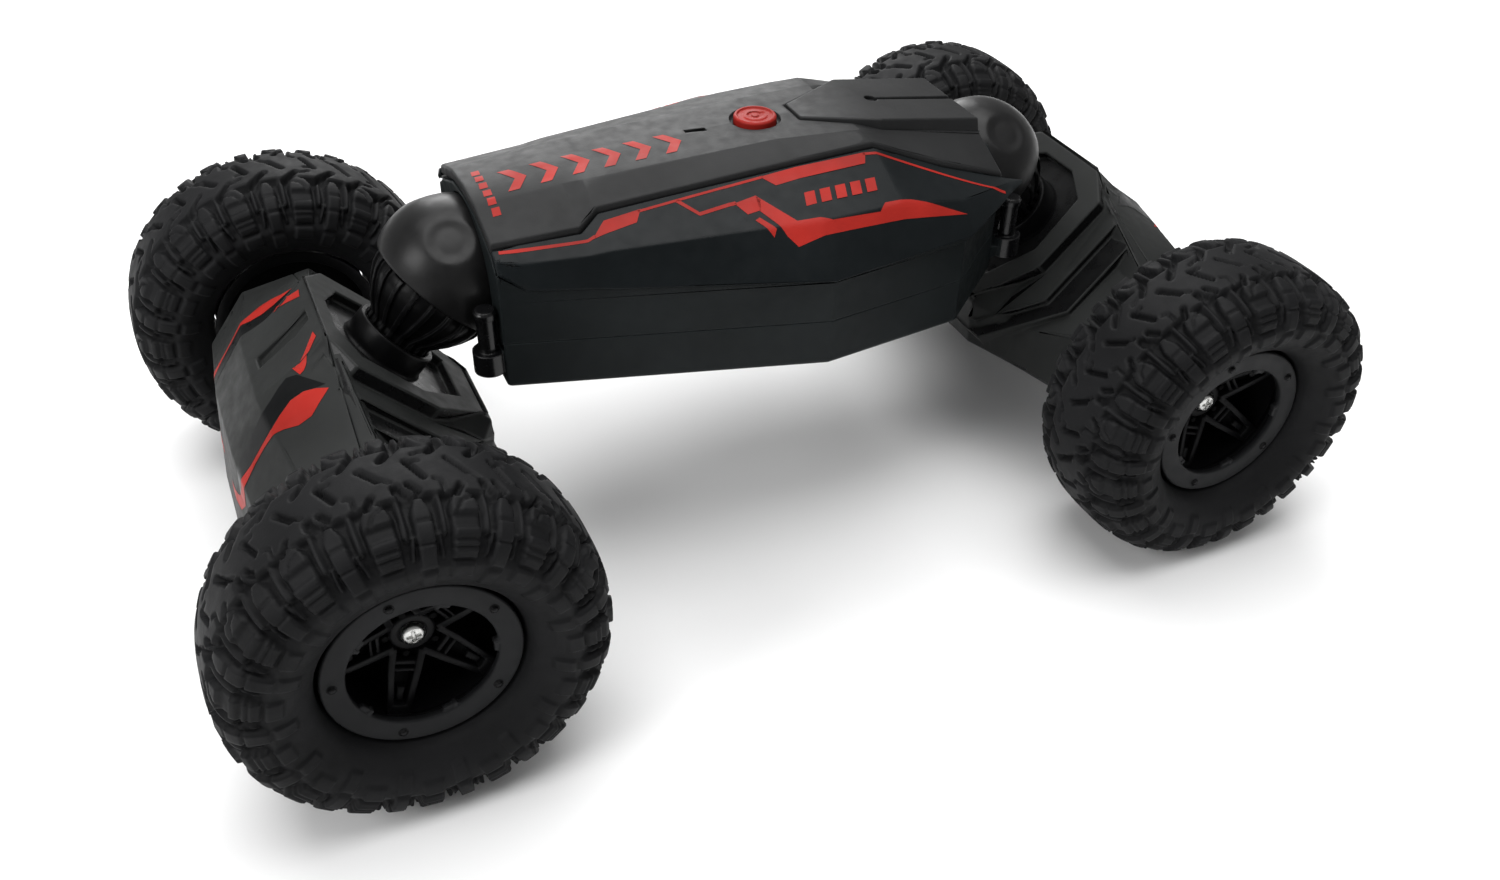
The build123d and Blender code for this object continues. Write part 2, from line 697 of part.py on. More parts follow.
def plan_outline(inset):
    """The body's plan as a closed outline, drawn in by an inset on every side."""
    rear_x, rear_y = PLAN[0]
    front_x, front_y = PLAN[-1]
    left = [
        (rear_x + inset, rear_y - inset),
        (PLAN[1][0], PLAN[1][1] - inset),
        (PLAN[2][0] - 0.2 * inset, PLAN[2][1] - inset),
        (front_x - inset, front_y - 0.6 * inset),
    ]
    right = [(x, -y) for x, y in reversed(left)]
    return left + right


def plan_prism(inset, low, high):
    """Extrudes the plan outline between two heights."""
    face = make_face(Polyline(*[(x, y, low) for x, y in plan_outline(inset)], close=True))
    return extrude(face, amount=high - low, dir=(0, 0, 1))


def ball_places():
    """Both twist joints' planes in the car's frame, rear first."""
    rear = Plane(origin=(-BALL_X, 0, BALL_Z), x_dir=(1, 0, -1), z_dir=(1, 0, 1))
    front = Plane(origin=(BALL_X, 0, BALL_Z), x_dir=(-1, 0, -1), z_dir=(-1, 0, 1))
    return [rear, front]


def dome_room():
    """Space kept clear of the domes and of the turning necks at both ends."""
    spaces = []
    for plane in ball_places():
        dome = Sphere(DOME_RADIUS + JOINT_GAP)
        turning = Pos(0, 0, -14.0) * Cylinder(NECK_RELIEF_RADIUS, 18.0)
        spaces.append(plane.location * dome)
        spaces.append(plane.location * turning)
    return spaces[0].fuse(*spaces[1:])


def standoff_places():
    """The control board's four standoffs."""
    x = BOARD_LENGTH / 2 - 3.5
    y = BOARD_WIDTH / 2 - 3.5
    return [(BOARD_X + i * x, j * y) for i in (-1, 1) for j in (-1, 1)]


def cover_screw_places():
    """Four long screws that join the tub to the covers from below."""
    return [(x, s * y) for x, y in ((-44.0, 21.0), (40.0, 27.0)) for s in (-1, 1)]


def chassis_tub(room):
    """Lower half of the body: floor, walls, board standoffs, screw bosses and the end lugs."""
    outside = plan_prism(0.0, BODY_FLOOR, TUB_TOP)
    outside = chamfer(outside.edges().group_by(Axis.Z)[0], 1.0)
    inside = plan_prism(SHELL, BODY_FLOOR + SHELL, TUB_TOP + 1)
    seam_z = BODY_FLOOR + 12.0
    seam = plan_prism(-1.0, seam_z, seam_z + SEAM_HEIGHT)
    seam = seam - plan_prism(SEAM_DEPTH, seam_z, seam_z + SEAM_HEIGHT)
    door_hole = door_plate(DOOR_GAP)
    foot = BODY_FLOOR + SHELL - 0.5
    posts = [
        Pos(x, y, (foot + BOARD_Z) / 2) * Cylinder(2.4, BOARD_Z - foot)
        for x, y in standoff_places()
    ]
    bosses = [
        Pos(x, y, (foot + TUB_TOP) / 2) * Cylinder(3.4, TUB_TOP - foot)
        for x, y in cover_screw_places()
    ]
    lugs = [end_lug(i, j) for i in (-1, 1) for j in (-1, 1)]
    door_boss = Pos(DOOR_SCREW_X, 0, BODY_FLOOR + SHELL + 2.0) * Box(10.0, 13.0, 4.0)
    upper = [side_wall(1), side_wall(-1), end_wall(-1), end_wall(1)]
    shell = (outside - inside - seam - door_hole).fuse(*upper) - room
    tub = shell.fuse(*posts, *bosses, *lugs, door_boss)
    holes = [
        Pos(x, y, BODY_FLOOR) * Cylinder(SCREW_RADIUS + FIT_GAP, 80.0)
        for x, y in cover_screw_places()
    ]
    wells = [
        Pos(x, y, BODY_FLOOR) * Cylinder(SCREW_HEAD_RADIUS + 0.2, 2 * SCREW_HEAD_HEIGHT + 0.4)
        for x, y in cover_screw_places()
    ]
    board_holes = [
        Pos(x, y, BOARD_Z) * Cylinder(BOARD_SCREW_RADIUS + FIT_GAP, 12.0)
        for x, y in standoff_places()
    ]
    door_screw = Pos(DOOR_SCREW_X, 0, BODY_FLOOR) * Cylinder(SCREW_RADIUS + FIT_GAP, 11.0)
    return tub.cut(*holes, *wells, *board_holes, door_screw)


# Top of the tub's upper wall, just under the side panels: x, half-width, height.
WALL_TOP = [
    (-66.0, 24.0, 91.6),
    (-60.5, 25.5, 87.8),
    (-46.0, 29.5, 87.2),
    (6.0, 44.0, 84.7),
    (27.0, 41.7, 85.3),
    (43.0, 40.0, 86.0),
    (61.0, 24.6, 89.4),
    (64.0, 22.0, 89.6),
]


def side_wall(side):
    """The tub's wall above its rim, rising to the side panel's lower edge."""
    low = TUB_TOP - 0.5
    stations = []
    for x, half, top in WALL_TOP:
        inner = side * (half - SHELL)
        outer = side * half
        stations.append((x, [(inner, low), (outer, low), (outer, top), (inner, top)]))
    return skin_along_x(stations)


def end_wall(end):
    """Closes one end of the body between the tub and the covers. end is -1 at the back."""
    low = TUB_TOP - 0.5
    if end < 0:
        half_outline = [(23.4, low), (23.4, 91.4), (20.4, 94.0), (9.0, 98.6), (0.0, 99.3)]
        x = PLAN[0][0]
    else:
        half_outline = [(21.4, low), (21.4, 89.4), (14.6, 94.8), (0.0, 94.8)]
        x = PLAN[-1][0] - SHELL
    mirrored = [(-y, z) for y, z in reversed(half_outline[:-1])]
    outline = half_outline + mirrored
    return skin_along_x([(x, outline), (x + SHELL, outline)])


def end_lug(end, side):
    """Stepped post with a round cap on a small foot at one corner of the tub."""
    x = end * POST_X
    y = side * POST_Y
    foot = Pos(x - end * 2.5, y - side * 0.6, POST_FOOT + 1.5) * Box(6.0, 2 * POST_RADIUS, 3.0)
    base_height = POST_BASE_TOP - POST_FOOT
    base = Pos(x, y, POST_FOOT + base_height / 2) * Cylinder(POST_BASE_RADIUS, base_height)
    post = Pos(x, y, (POST_FOOT + POST_TOP) / 2) * Cylinder(POST_RADIUS, POST_TOP - POST_FOOT)
    cap = Pos(x, y, POST_TOP - POST_CAP_HEIGHT / 2) * Cylinder(POST_CAP_RADIUS, POST_CAP_HEIGHT)
    cap = chamfer(cap.edges().group_by(Axis.Z)[-1], 0.6)
    return foot.fuse(base, post, cap)


def door_plate(gap):
    """The battery door's outline through the floor: a plate and its screw tab."""
    z = BODY_FLOOR + SHELL / 2
    plate = Pos(0, 0, z) * Box(DOOR_LENGTH + 2 * gap, DOOR_WIDTH + 2 * gap, SHELL)
    tab = Pos(DOOR_SCREW_X, 0, z) * Box(DOOR_TAB + 2 * gap, DOOR_TAB + 2 * gap, SHELL)
    return plate + tab


def battery_door():
    """Plate in the floor with a tongue at one end and a screw tab at the other."""
    tongue = Pos(-DOOR_LENGTH / 2, 0, BODY_FLOOR + SHELL + 0.5) * Box(6.0, 12.0, 1.0 - 2 * FIT_GAP)
    joint = Pos(-DOOR_LENGTH / 2 + 2.0, 0, BODY_FLOOR + SHELL) * Box(2.0, 12.0, 1.0)
    ribs = [Pos(x, 0, BODY_FLOOR) * Box(1.2, DOOR_WIDTH - 8, 0.8) for x in (-18, -12, -6)]
    screw_hole = Pos(DOOR_SCREW_X, 0, BODY_FLOOR) * Cylinder(SCREW_RADIUS + FIT_GAP, 10.0)
    well = Pos(DOOR_SCREW_X, 0, BODY_FLOOR) * Cylinder(SCREW_HEAD_RADIUS + 0.2, 2.8)
    return door_plate(0.0).fuse(tongue, joint).cut(*ribs, screw_hole, well)


def battery_pack():
    """Two round cells side by side in one sleeve."""
    bar = Rot(0, 90, 0) * Cylinder(BATTERY_CELL_RADIUS, BATTERY_LENGTH)
    middle = Box(BATTERY_LENGTH, 2 * BATTERY_CELL_RADIUS, 2 * BATTERY_CELL_RADIUS)
    z = BODY_FLOOR + SHELL + 0.4 + BATTERY_CELL_RADIUS
    left = Pos(0, BATTERY_CELL_RADIUS, z) * bar
    right = Pos(0, -BATTERY_CELL_RADIUS, z) * bar
    return left + right + Pos(0, 0, z) * middle


def control_board():
    """Circuit board with its chips, a push switch under the button and a wire socket."""
    z = BOARD_Z + BOARD_THICKNESS / 2
    board = Pos(BOARD_X, 0, z) * Box(BOARD_LENGTH, BOARD_WIDTH, BOARD_THICKNESS)
    holes = [
        Pos(x, y, z) * Cylinder(BOARD_SCREW_RADIUS + FIT_GAP, 4.0) for x, y in standoff_places()
    ]
    top = BOARD_Z + BOARD_THICKNESS
    chips = [
        Pos(BOARD_X - 8.0, 2.0, top + 0.7) * Box(9.0, 6.0, 1.6),
        Pos(BOARD_X + 6.0, -4.0, top + 0.6) * Box(5.0, 5.0, 1.4),
        Pos(BOARD_X + 20.0, 0, top + 2.0) * Box(5.0, 12.0, 4.2),
        Pos(BOARD_X - 20.0, 0, top + 2.0) * Box(5.0, 12.0, 4.2),
    ]
    switch = Pos(BUTTON_X, 0, top + 2.0) * Box(7.0, 7.0, 4.2)
    plunger_foot = top + 4.0
    plunger = Pos(BUTTON_X, 0, plunger_foot + 0.5) * Cylinder(1.6, 1.2)
    return board.cut(*holes).fuse(*chips, switch, plunger)


# Cross-sections of the spine cover from back to front:
# x, then height on the centre line, half-width and height of the ridge, half-width and
# height of the outer edge.
SPINE = [
    (-66.0, 102.3, 9.0, 101.6, 20.6, 97.6),
    (-46.0, 103.8, 10.0, 103.2, 22.0, 98.4),
    (-41.0, 104.1, 10.5, 103.6, 19.0, 100.8),
    (6.0, 105.7, 12.0, 105.5, 20.6, 104.0),
    (27.0, 105.2, 14.0, 105.0, 20.4, 104.6),
    (44.0, 101.8, 15.0, 101.8, 24.6, 98.4),
    (61.0, 98.4, 15.0, 98.4, 26.4, 92.8),
]


def spine_outline(zc, y1, z1, y2, z2):
    """Closed section of the cover, constant in wall height."""
    top = [(-y2, z2), (-y1, z1), (0, zc), (y1, z1), (y2, z2)]
    low = [(y, z - COVER_THICKNESS) for y, z in reversed(top)]
    return top + low


def spine_cover(room, hood):
    """Long faceted cover down the middle, with the button's well and guide and the lens slot."""
    shell = skin_along_x([(row[0], spine_outline(*row[1:])) for row in SPINE])
    guide_foot = BUTTON_TOP - BUTTON_HEIGHT - 4.0
    guide = Pos(BUTTON_X, 0, (guide_foot + 104.0) / 2) * Cylinder(
        BUTTON_BOSS_RADIUS, 104.0 - guide_foot
    )
    well_foot = SPINE[3][1] - BUTTON_WELL_DEPTH
    well = Pos(BUTTON_X, 0, well_foot + 3) * Cylinder(BUTTON_WELL_RADIUS, 6.0)
    bore = Pos(BUTTON_X, 0, 100.0) * Cylinder(BUTTON_RADIUS + BUTTON_CLEARANCE, 40.0)
    flange_room_top = BUTTON_TOP - BUTTON_HEIGHT + BUTTON_FLANGE_HEIGHT + FIT_GAP
    flange_room = Pos(BUTTON_X, 0, flange_room_top - 5.0) * Cylinder(
        BUTTON_FLANGE_RADIUS + 0.4, 10.0
    )
    lens_slot = Pos(LENS_X, 0, 105.0) * Box(
        LENS_LENGTH + 2 * FIT_GAP, LENS_WIDTH + 2 * FIT_GAP, 12.0
    )
    return shell.fuse(guide).cut(well, bore, flange_room, lens_slot, room, hood)


def indicator_lens():
    """Dark light pipe in the small slot behind the button, its top just below the surface."""
    top = 104.6
    pipe = Pos(LENS_X, 0, top - 2.5) * Box(LENS_LENGTH, LENS_WIDTH, 5.0)
    foot = Pos(LENS_X, 0, top - 5.0) * Box(LENS_LENGTH + 2, LENS_WIDTH + 2, 1.2)
    return pipe + foot


def power_button():
    """Round cap with a raised rim and a broken ring on top, a skirt and a retaining flange."""
    z_low = BUTTON_TOP - BUTTON_HEIGHT
    cap = Pos(BUTTON_X, 0, z_low + BUTTON_HEIGHT / 2) * Cylinder(BUTTON_RADIUS, BUTTON_HEIGHT)
    cap = chamfer(cap.edges().group_by(Axis.Z)[-1], 0.4)
    flange = Pos(BUTTON_X, 0, z_low + BUTTON_FLANGE_HEIGHT / 2) * Cylinder(
        BUTTON_FLANGE_RADIUS, BUTTON_FLANGE_HEIGHT
    )
    dish = Pos(BUTTON_X, 0, BUTTON_TOP) * Cylinder(BUTTON_RADIUS - 0.9, 0.7)
    mark = Pos(BUTTON_X, 0, BUTTON_TOP - 0.25) * (Cylinder(2.9, 0.3) - Cylinder(1.9, 0.3))
    gap = Pos(BUTTON_X + 2.5, 0, BUTTON_TOP - 0.2) * Box(3.0, 1.6, 1.0)
    bar = Pos(BUTTON_X, 0, BUTTON_TOP - 0.25) * Cylinder(0.9, 0.3)
    stem = Pos(BUTTON_X, 0, z_low - BUTTON_STEM / 2) * Cylinder(2.0, BUTTON_STEM)
    return cap.fuse(flange, stem).cut(dish).fuse(mark - gap, bar)


# The hood from back to front: x, half-width, height of its top and of its foot.
HOOD = [(16.0, 4.0, 105.9, 104.6), (33.5, 12.8, 106.0, 102.9), (61.0, 13.3, 101.8, 98.2)]


def hood_panel():
    """Raised panel in front of the button, with stepped sides and a keyhole slot."""
    stations = []
    for x, half, top, low in HOOD:
        side = half + 0.3 * (top - low)
        stations.append((x, [(-half, top), (half, top), (side, low), (-side, low)]))
    plate = skin_along_x(stations)
    hole = Pos(KEYHOLE_X, 0, 105.4) * Cylinder(KEYHOLE_RADIUS, 2 * KEYHOLE_DEPTH)
    slot = Pos((KEYHOLE_X + 64.0) / 2, 0, 103.4) * Rot(0, HOOD_SLOPE, 0) * Box(
        64.0 - KEYHOLE_X, KEYHOLE_SLOT_WIDTH, 2 * KEYHOLE_DEPTH
    )
    return plate.cut(hole, slot)


# Cross-sections of a side panel from back to front: x, then half-width and height of its
# inner edge, of its crease and of its lower edge.
PANEL = [
    (-66.0, 20.9, 96.4, 23.6, 95.2, 25.4, 92.6),
    (-60.5, 21.2, 96.8, 25.2, 94.0, 27.2, 88.4),
    (-46.0, 22.3, 97.2, 28.0, 94.4, 31.2, 87.8),
    (-41.0, 19.3, 99.6, 28.6, 95.0, 32.6, 87.4),
    (6.0, 20.9, 102.9, 36.0, 96.2, 45.2, 85.2),
    (27.0, 20.7, 103.5, 36.0, 96.4, 43.0, 85.9),
    (44.0, 24.9, 97.3, 36.0, 93.6, 41.4, 86.6),
    (61.0, 26.7, 92.0, 29.6, 92.0, 32.4, 91.2),
    (65.0, 28.6, 91.6, 29.2, 91.6, 29.8, 91.4),
]


def panel_outline(side, ya, za, yb, zb, yc, zc):
    """Closed section of a side panel, one wall thick."""
    drop = min(SHELL, 0.25 * (yc - ya) + 0.8)
    top = [(ya, za), (yb, zb), (yc, zc)]
    low = [(yc - 0.5 * drop, zc - 0.3), (yb - 0.4 * drop, zb - drop), (ya, za - drop)]
    return [(side * y, z) for y, z in top + low]


def side_panel(side, room):
    """Angular panel from the spine's edge out over the tub's wall, pointed at the front."""
    return skin_along_x([(row[0], panel_outline(side, *row[1:])) for row in PANEL]) - room


def dome_cap(plane):
    """Smooth dome fixed to the body, open below along the twist axis, with a soft round boss."""
    ball = Sphere(DOME_RADIUS) - Sphere(DOME_BORE_RADIUS)
    cutter = Pos(0, 0, DOME_CUT - 25) * Box(50, 50, 50)
    shell = ball - cutter
    for side in (-1, 1):
        look = Plane(origin=(0, 0, 0), z_dir=(-0.6, side * 0.63, 0.49))
        boss = Pos(0, 0, DOME_RADIUS - 0.8) * Cylinder(DOME_BOSS_RADIUS, 1.4)
        boss = fillet(boss.edges().group_by(Axis.Z)[-1], 0.8)
        dish = Pos(0, 0, DOME_RADIUS - 0.1) * Cylinder(DOME_DISH_RADIUS, 2 * DOME_DISH_DEPTH)
        shell = shell.fuse(look.location * boss).cut(look.location * dish)
    return plane.location * shell


def twist_motor(plane):
    """Flat gearbox across the dome with its motor above, bored for the twist shaft."""
    half = TWIST_GEARBOX_HALF_HEIGHT
    gearbox = Cylinder(TWIST_GEARBOX_RADIUS, 2 * half)
    can_height = TWIST_MOTOR_TOP - half + 0.5
    can = Pos(0, 0, TWIST_MOTOR_TOP - can_height / 2) * Cylinder(TWIST_MOTOR_RADIUS, can_height)
    bore_top = TWIST_SHAFT_TOP + 1.0
    bore = Pos(0, 0, bore_top - 10.0) * Cylinder(TWIST_SHAFT_RADIUS + RUNNING_GAP, 20.0)
    return plane.location * (gearbox + can - bore)


def body_screws():
    """Screws driven from below: four through the tub, one in the battery door."""
    screws = []
    for x, y in cover_screw_places():
        head = Pos(x, y, BODY_FLOOR + SCREW_HEAD_HEIGHT / 2 + 0.2) * Cylinder(
            SCREW_HEAD_RADIUS, SCREW_HEAD_HEIGHT
        )
        shank_low = BODY_FLOOR + SCREW_HEAD_HEIGHT
        shank_high = TUB_TOP - 1.0
        shank = Pos(x, y, (shank_low + shank_high) / 2) * Cylinder(
            SCREW_RADIUS, shank_high - shank_low
        )
        slot = Pos(x, y, BODY_FLOOR + 0.2) * Box(2.6, 0.6, 1.0)
        screws.append(head + shank - slot)
    head = Pos(DOOR_SCREW_X, 0, BODY_FLOOR + 0.8) * Cylinder(SCREW_HEAD_RADIUS, 1.2)
    shank = Pos(DOOR_SCREW_X, 0, BODY_FLOOR + 3.0) * Cylinder(SCREW_RADIUS, 4.4)
    slot = Pos(DOOR_SCREW_X, 0, BODY_FLOOR + 0.2) * Box(2.6, 0.6, 1.0)
    screws.append(head + shank - slot)
    return Compound(screws)


# ---------------------------------------------------------------- assembly


def save(shape, name):
    export_step(shape, f"parts/{name}.step")


def save_body():
    """Everything that stays with the body, and the button."""
    room = dome_room()
    rear, front = ball_places()
    save(chassis_tub(room), "chassis_tub")
    save(battery_door(), "battery_door")
    save(battery_pack(), "battery_pack")
    save(control_board(), "control_board")
    hood = hood_panel()
    save(spine_cover(room, hood), "spine_cover")
    save(side_panel(1, room), "side_panel_left")
    save(side_panel(-1, room), "side_panel_right")
    save(hood, "hood_panel")
    save(dome_cap(rear), "dome_cap_rear")
    save(dome_cap(front), "dome_cap_front")
    save(twist_motor(rear), "twist_motor_rear")
    save(twist_motor(front), "twist_motor_front")
    save(indicator_lens(), "indicator_lens")
    save(power_button(), "power_button")
    save(body_screws(), "body_screws")


def save_axle_module(place, end):
    """Housing, neck and motors of one axle module. end is rear or front."""
    inner_half, outer_half = housing_split()
    save(place * inner_half, f"gearbox_shell_{end}")
    save(place * outer_half, f"nose_cover_{end}")
    save(place * neck(), f"neck_{end}")
    save(place * collar(), f"collar_ring_{end}")
    save(place * twist_shaft(), f"twist_shaft_{end}")
    save(place * housing_screws(), f"housing_screws_{end}")
    for side in (1, -1):
        hand = vehicle_side(end, side)
        seat = place * Pos(PINION_OFFSET, 0, PINION_OFFSET)
        save(seat * drive_motor(side), f"drive_motor_{end}_{hand}")
        pinion_seat = seat * Pos(0, side * GEAR_Y, 0)
        save(pinion_seat * motor_pinion(side), f"motor_pinion_{end}_{hand}")
        save(place * output_axle(side), f"output_axle_{end}_{hand}")


def vehicle_side(end, side):
    """The car's own left or right for a side of a module. The front module faces backwards."""
    faces = 1 if end == "rear" else -1
    return "left" if side * faces > 0 else "right"


def save_wheels():
    """Four equal wheels, each turned so that its face points outward."""
    pieces = {
        "tyre": tyre(),
        "rim": rim(),
        "beadlock_ring": beadlock_ring(),
        "beadlock_bolts": beadlock_bolts(),
        "hub_screw": hub_screw(),
    }
    for end, x in (("rear", -AXLE_X), ("front", AXLE_X)):
        for hand, turn in (("left", 0), ("right", 180)):
            y = WHEEL_Y if hand == "left" else -WHEEL_Y
            place = Location((x, y, WHEEL_RADIUS), (0, 0, turn))
            for name, piece in pieces.items():
                save(place * piece, f"{name}_{end}_{hand}")


save_body()
save_axle_module(REAR, "rear")
save_axle_module(FRONT, "front")
save_wheels()
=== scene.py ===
import json
from math import cos, hypot, pi, radians, sin

import bmesh
import bpy
import numpy as np
from mathutils import Matrix, Vector
from mathutils.bvhtree import BVHTree


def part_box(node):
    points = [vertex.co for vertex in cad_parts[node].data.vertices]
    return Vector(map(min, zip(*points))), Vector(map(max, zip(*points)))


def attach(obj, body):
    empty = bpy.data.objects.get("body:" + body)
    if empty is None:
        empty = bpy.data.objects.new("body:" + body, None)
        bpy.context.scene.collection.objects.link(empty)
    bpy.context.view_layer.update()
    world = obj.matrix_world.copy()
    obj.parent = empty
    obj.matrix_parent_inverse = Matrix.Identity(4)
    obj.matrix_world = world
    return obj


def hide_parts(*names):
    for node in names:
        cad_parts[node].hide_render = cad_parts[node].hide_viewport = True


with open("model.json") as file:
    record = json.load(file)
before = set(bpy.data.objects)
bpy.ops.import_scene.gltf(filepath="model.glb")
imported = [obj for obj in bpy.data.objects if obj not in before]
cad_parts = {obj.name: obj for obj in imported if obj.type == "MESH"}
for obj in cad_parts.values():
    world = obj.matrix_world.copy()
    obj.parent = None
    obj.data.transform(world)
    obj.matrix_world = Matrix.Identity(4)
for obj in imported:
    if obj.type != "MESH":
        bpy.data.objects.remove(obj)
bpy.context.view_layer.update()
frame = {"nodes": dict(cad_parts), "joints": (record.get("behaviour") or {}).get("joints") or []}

# Twisting stunt car. Lengths are millimetres unless a comment says metres.
MM = 0.001
NODES = frame["nodes"]
ENDS = ("rear", "front")
HANDS = ("left", "right")


def middle(node):
    """The middle of a CAD node's box, in metres."""
    low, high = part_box(node)
    return (low + high) / 2


# ---------------------------------------------------------------- materials

# Sizes of the patches of uneven colour and of uneven gloss, and the width of a lighter edge.
BROAD_PATCH = 22.0
SMALL_PATCH = 3.0
# A lighter edge is wear, and on the turret and the necks also painted highlight.
WORN_AND_GLINT_WIDTH = 0.5


def map_range(tree, source, low, high, to_low, to_high):
    """Remaps a value, clamped."""
    node = tree.nodes.new("ShaderNodeMapRange")
    node.inputs["From Min"].default_value = low
    node.inputs["From Max"].default_value = high
    node.inputs["To Min"].default_value = to_low
    node.inputs["To Max"].default_value = to_high
    tree.links.new(source, node.inputs["Value"])
    return node.outputs["Result"]


def noise(tree, place, size, detail=3.0, stretch=(1, 1, 1)):
    """Noise whose blobs are about `size` millimetres across, on the object's own coordinates."""
    spread = tree.nodes.new("ShaderNodeMapping")
    spread.inputs["Scale"].default_value = stretch
    tree.links.new(place.outputs["Object"], spread.inputs["Vector"])
    node = tree.nodes.new("ShaderNodeTexNoise")
    node.inputs["Scale"].default_value = 1.0 / (size * MM)
    node.inputs["Detail"].default_value = detail
    tree.links.new(spread.outputs["Vector"], node.inputs["Vector"])
    return node.outputs["Fac"]


def mixed(tree, share, first, second):
    """Colour mix of two colours or sockets, by a share from 0 to 1."""
    node = tree.nodes.new("ShaderNodeMix")
    node.data_type = "RGBA"
    tree.links.new(share, node.inputs["Factor"])
    for socket, value in ((node.inputs["A"], first), (node.inputs["B"], second)):
        if isinstance(value, tuple):
            socket.default_value = (*value, 1.0)
        else:
            tree.links.new(value, socket)
    return node.outputs["Result"]


def product(tree, first, second):
    """Two values multiplied."""
    node = tree.nodes.new("ShaderNodeMath")
    node.operation = "MULTIPLY"
    tree.links.new(first, node.inputs[0])
    tree.links.new(second, node.inputs[1])
    return node.outputs["Value"]


def edge_mask(tree, radius):
    """1 on convex and concave edges, 0 on flats, and the rounded normal that goes with it."""
    bevel = tree.nodes.new("ShaderNodeBevel")
    bevel.samples = 4
    bevel.inputs["Radius"].default_value = radius * MM
    shape = tree.nodes.new("ShaderNodeNewGeometry")
    dot = tree.nodes.new("ShaderNodeVectorMath")
    dot.operation = "DOT_PRODUCT"
    tree.links.new(bevel.outputs["Normal"], dot.inputs[0])
    tree.links.new(shape.outputs["Normal"], dot.inputs[1])
    return map_range(tree, dot.outputs["Value"], 0.995, 0.86, 0.0, 1.0), bevel.outputs["Normal"]


def finish(name, color, rough, grain=0.35, depth=0.02, mottle=0.18, wear_and_glint=0.5, metallic=0.0,
           specular=0.12, coat=0.0, worn_and_glint=None, stretch=(1, 1, 1), rough_swing=0.07):
    """Moulded or painted surface: fine grain, uneven gloss, slight mottling and lighter edges (worn; on
    the turret and necks also painted highlight).
    """
    material = bpy.data.materials.new(name)
    material.use_nodes = True
    tree = material.node_tree
    shader = tree.nodes["Principled BSDF"]
    shader.inputs["Metallic"].default_value = metallic
    shader.inputs["Specular IOR Level"].default_value = specular
    shader.inputs["Coat Weight"].default_value = coat
    shader.inputs["Coat Roughness"].default_value = 0.25
    place = tree.nodes.new("ShaderNodeTexCoord")
    broad = noise(tree, place, BROAD_PATCH, 4.0)
    patchy = noise(tree, place, SMALL_PATCH, 5.0, stretch)
    fine = noise(tree, place, grain, 2.0, stretch)
    dark = tuple(c * (1 - mottle) for c in color)
    light = tuple(c * (1 + mottle) for c in color)
    mottled = mixed(tree, map_range(tree, broad, 0.35, 0.65, 0, 1), dark, light)
    edge, soft_normal = edge_mask(tree, WORN_AND_GLINT_WIDTH)
    # Lighter edges: wear, and on the turret and necks also painted highlight.
    rubbed_and_glint = product(tree, edge, map_range(tree, patchy, 0.38, 0.62, 0.15, wear_and_glint))
    worn_and_glint = worn_and_glint or tuple(min(1.0, c * 3.0 + 0.008) for c in color)
    tree.links.new(mixed(tree, rubbed_and_glint, mottled, worn_and_glint), shader.inputs["Base Color"])
    gloss = map_range(tree, patchy, 0.3, 0.7, rough - rough_swing, rough + rough_swing)
    tree.links.new(gloss, shader.inputs["Roughness"])
    bump = tree.nodes.new("ShaderNodeBump")
    bump.inputs["Strength"].default_value = 0.6
    bump.inputs["Distance"].default_value = depth * MM
    tree.links.new(fine, bump.inputs["Height"])
    tree.links.new(soft_normal, bump.inputs["Normal"])
    tree.links.new(bump.outputs["Normal"], shader.inputs["Normal"])
    return material


FINISHES = {
    "chassis_slate": finish("chassis_slate", (0.0085, 0.0108, 0.0114), 0.48),
    "cover_charcoal": finish("cover_charcoal", (0.0165, 0.0168, 0.0172), 0.42, depth=0.03),
    "panel_satin": finish("panel_satin", (0.0050, 0.0066, 0.0074), 0.38, depth=0.012),
    "dome_black": finish("dome_black", (0.0075, 0.0074, 0.0076), 0.36, depth=0.01, wear_and_glint=0.2,
                         specular=0.22),
    "housing_black": finish("housing_black", (0.0175, 0.0184, 0.0180), 0.52, depth=0.03),
    "tyre_rubber": finish("tyre_rubber", (0.0075, 0.0076, 0.0082), 0.60, grain=0.5, depth=0.05,
                          mottle=0.25, wear_and_glint=0.2),
    "rim_black": finish("rim_black", (0.0045, 0.0045, 0.0050), 0.42, wear_and_glint=0.4),
    "ring_grey": finish("ring_grey", (0.0105, 0.0108, 0.0116), 0.48, wear_and_glint=0.4),
    "bolt_black": finish("bolt_black", (0.0040, 0.0040, 0.0044), 0.22, wear_and_glint=0.3),
    "zinc_screw": finish("zinc_screw", (0.72, 0.72, 0.70), 0.28, metallic=1.0, wear_and_glint=0.3,
                         stretch=(1, 6, 1)),
    "motor_steel": finish("motor_steel", (0.55, 0.55, 0.56), 0.32, metallic=1.0, wear_and_glint=0.3),
    "gear_nylon": finish("gear_nylon", (0.75, 0.74, 0.70), 0.45, wear_and_glint=0.1),
    "gear_brass": finish("gear_brass", (0.72, 0.52, 0.22), 0.30, metallic=1.0, wear_and_glint=0.2),
    "battery_wrap": finish("battery_wrap", (0.02, 0.10, 0.28), 0.30, wear_and_glint=0.1),
    "circuit_board": finish("circuit_board", (0.015, 0.12, 0.05), 0.35, wear_and_glint=0.2),
    "lens_dark": finish("lens_dark", (0.002, 0.002, 0.0025), 0.35, wear_and_glint=0.1),
    "button_red": finish("button_red", (0.26, 0.014, 0.010), 0.42, wear_and_glint=0.35,
                         worn_and_glint=(0.42, 0.06, 0.045)),
}
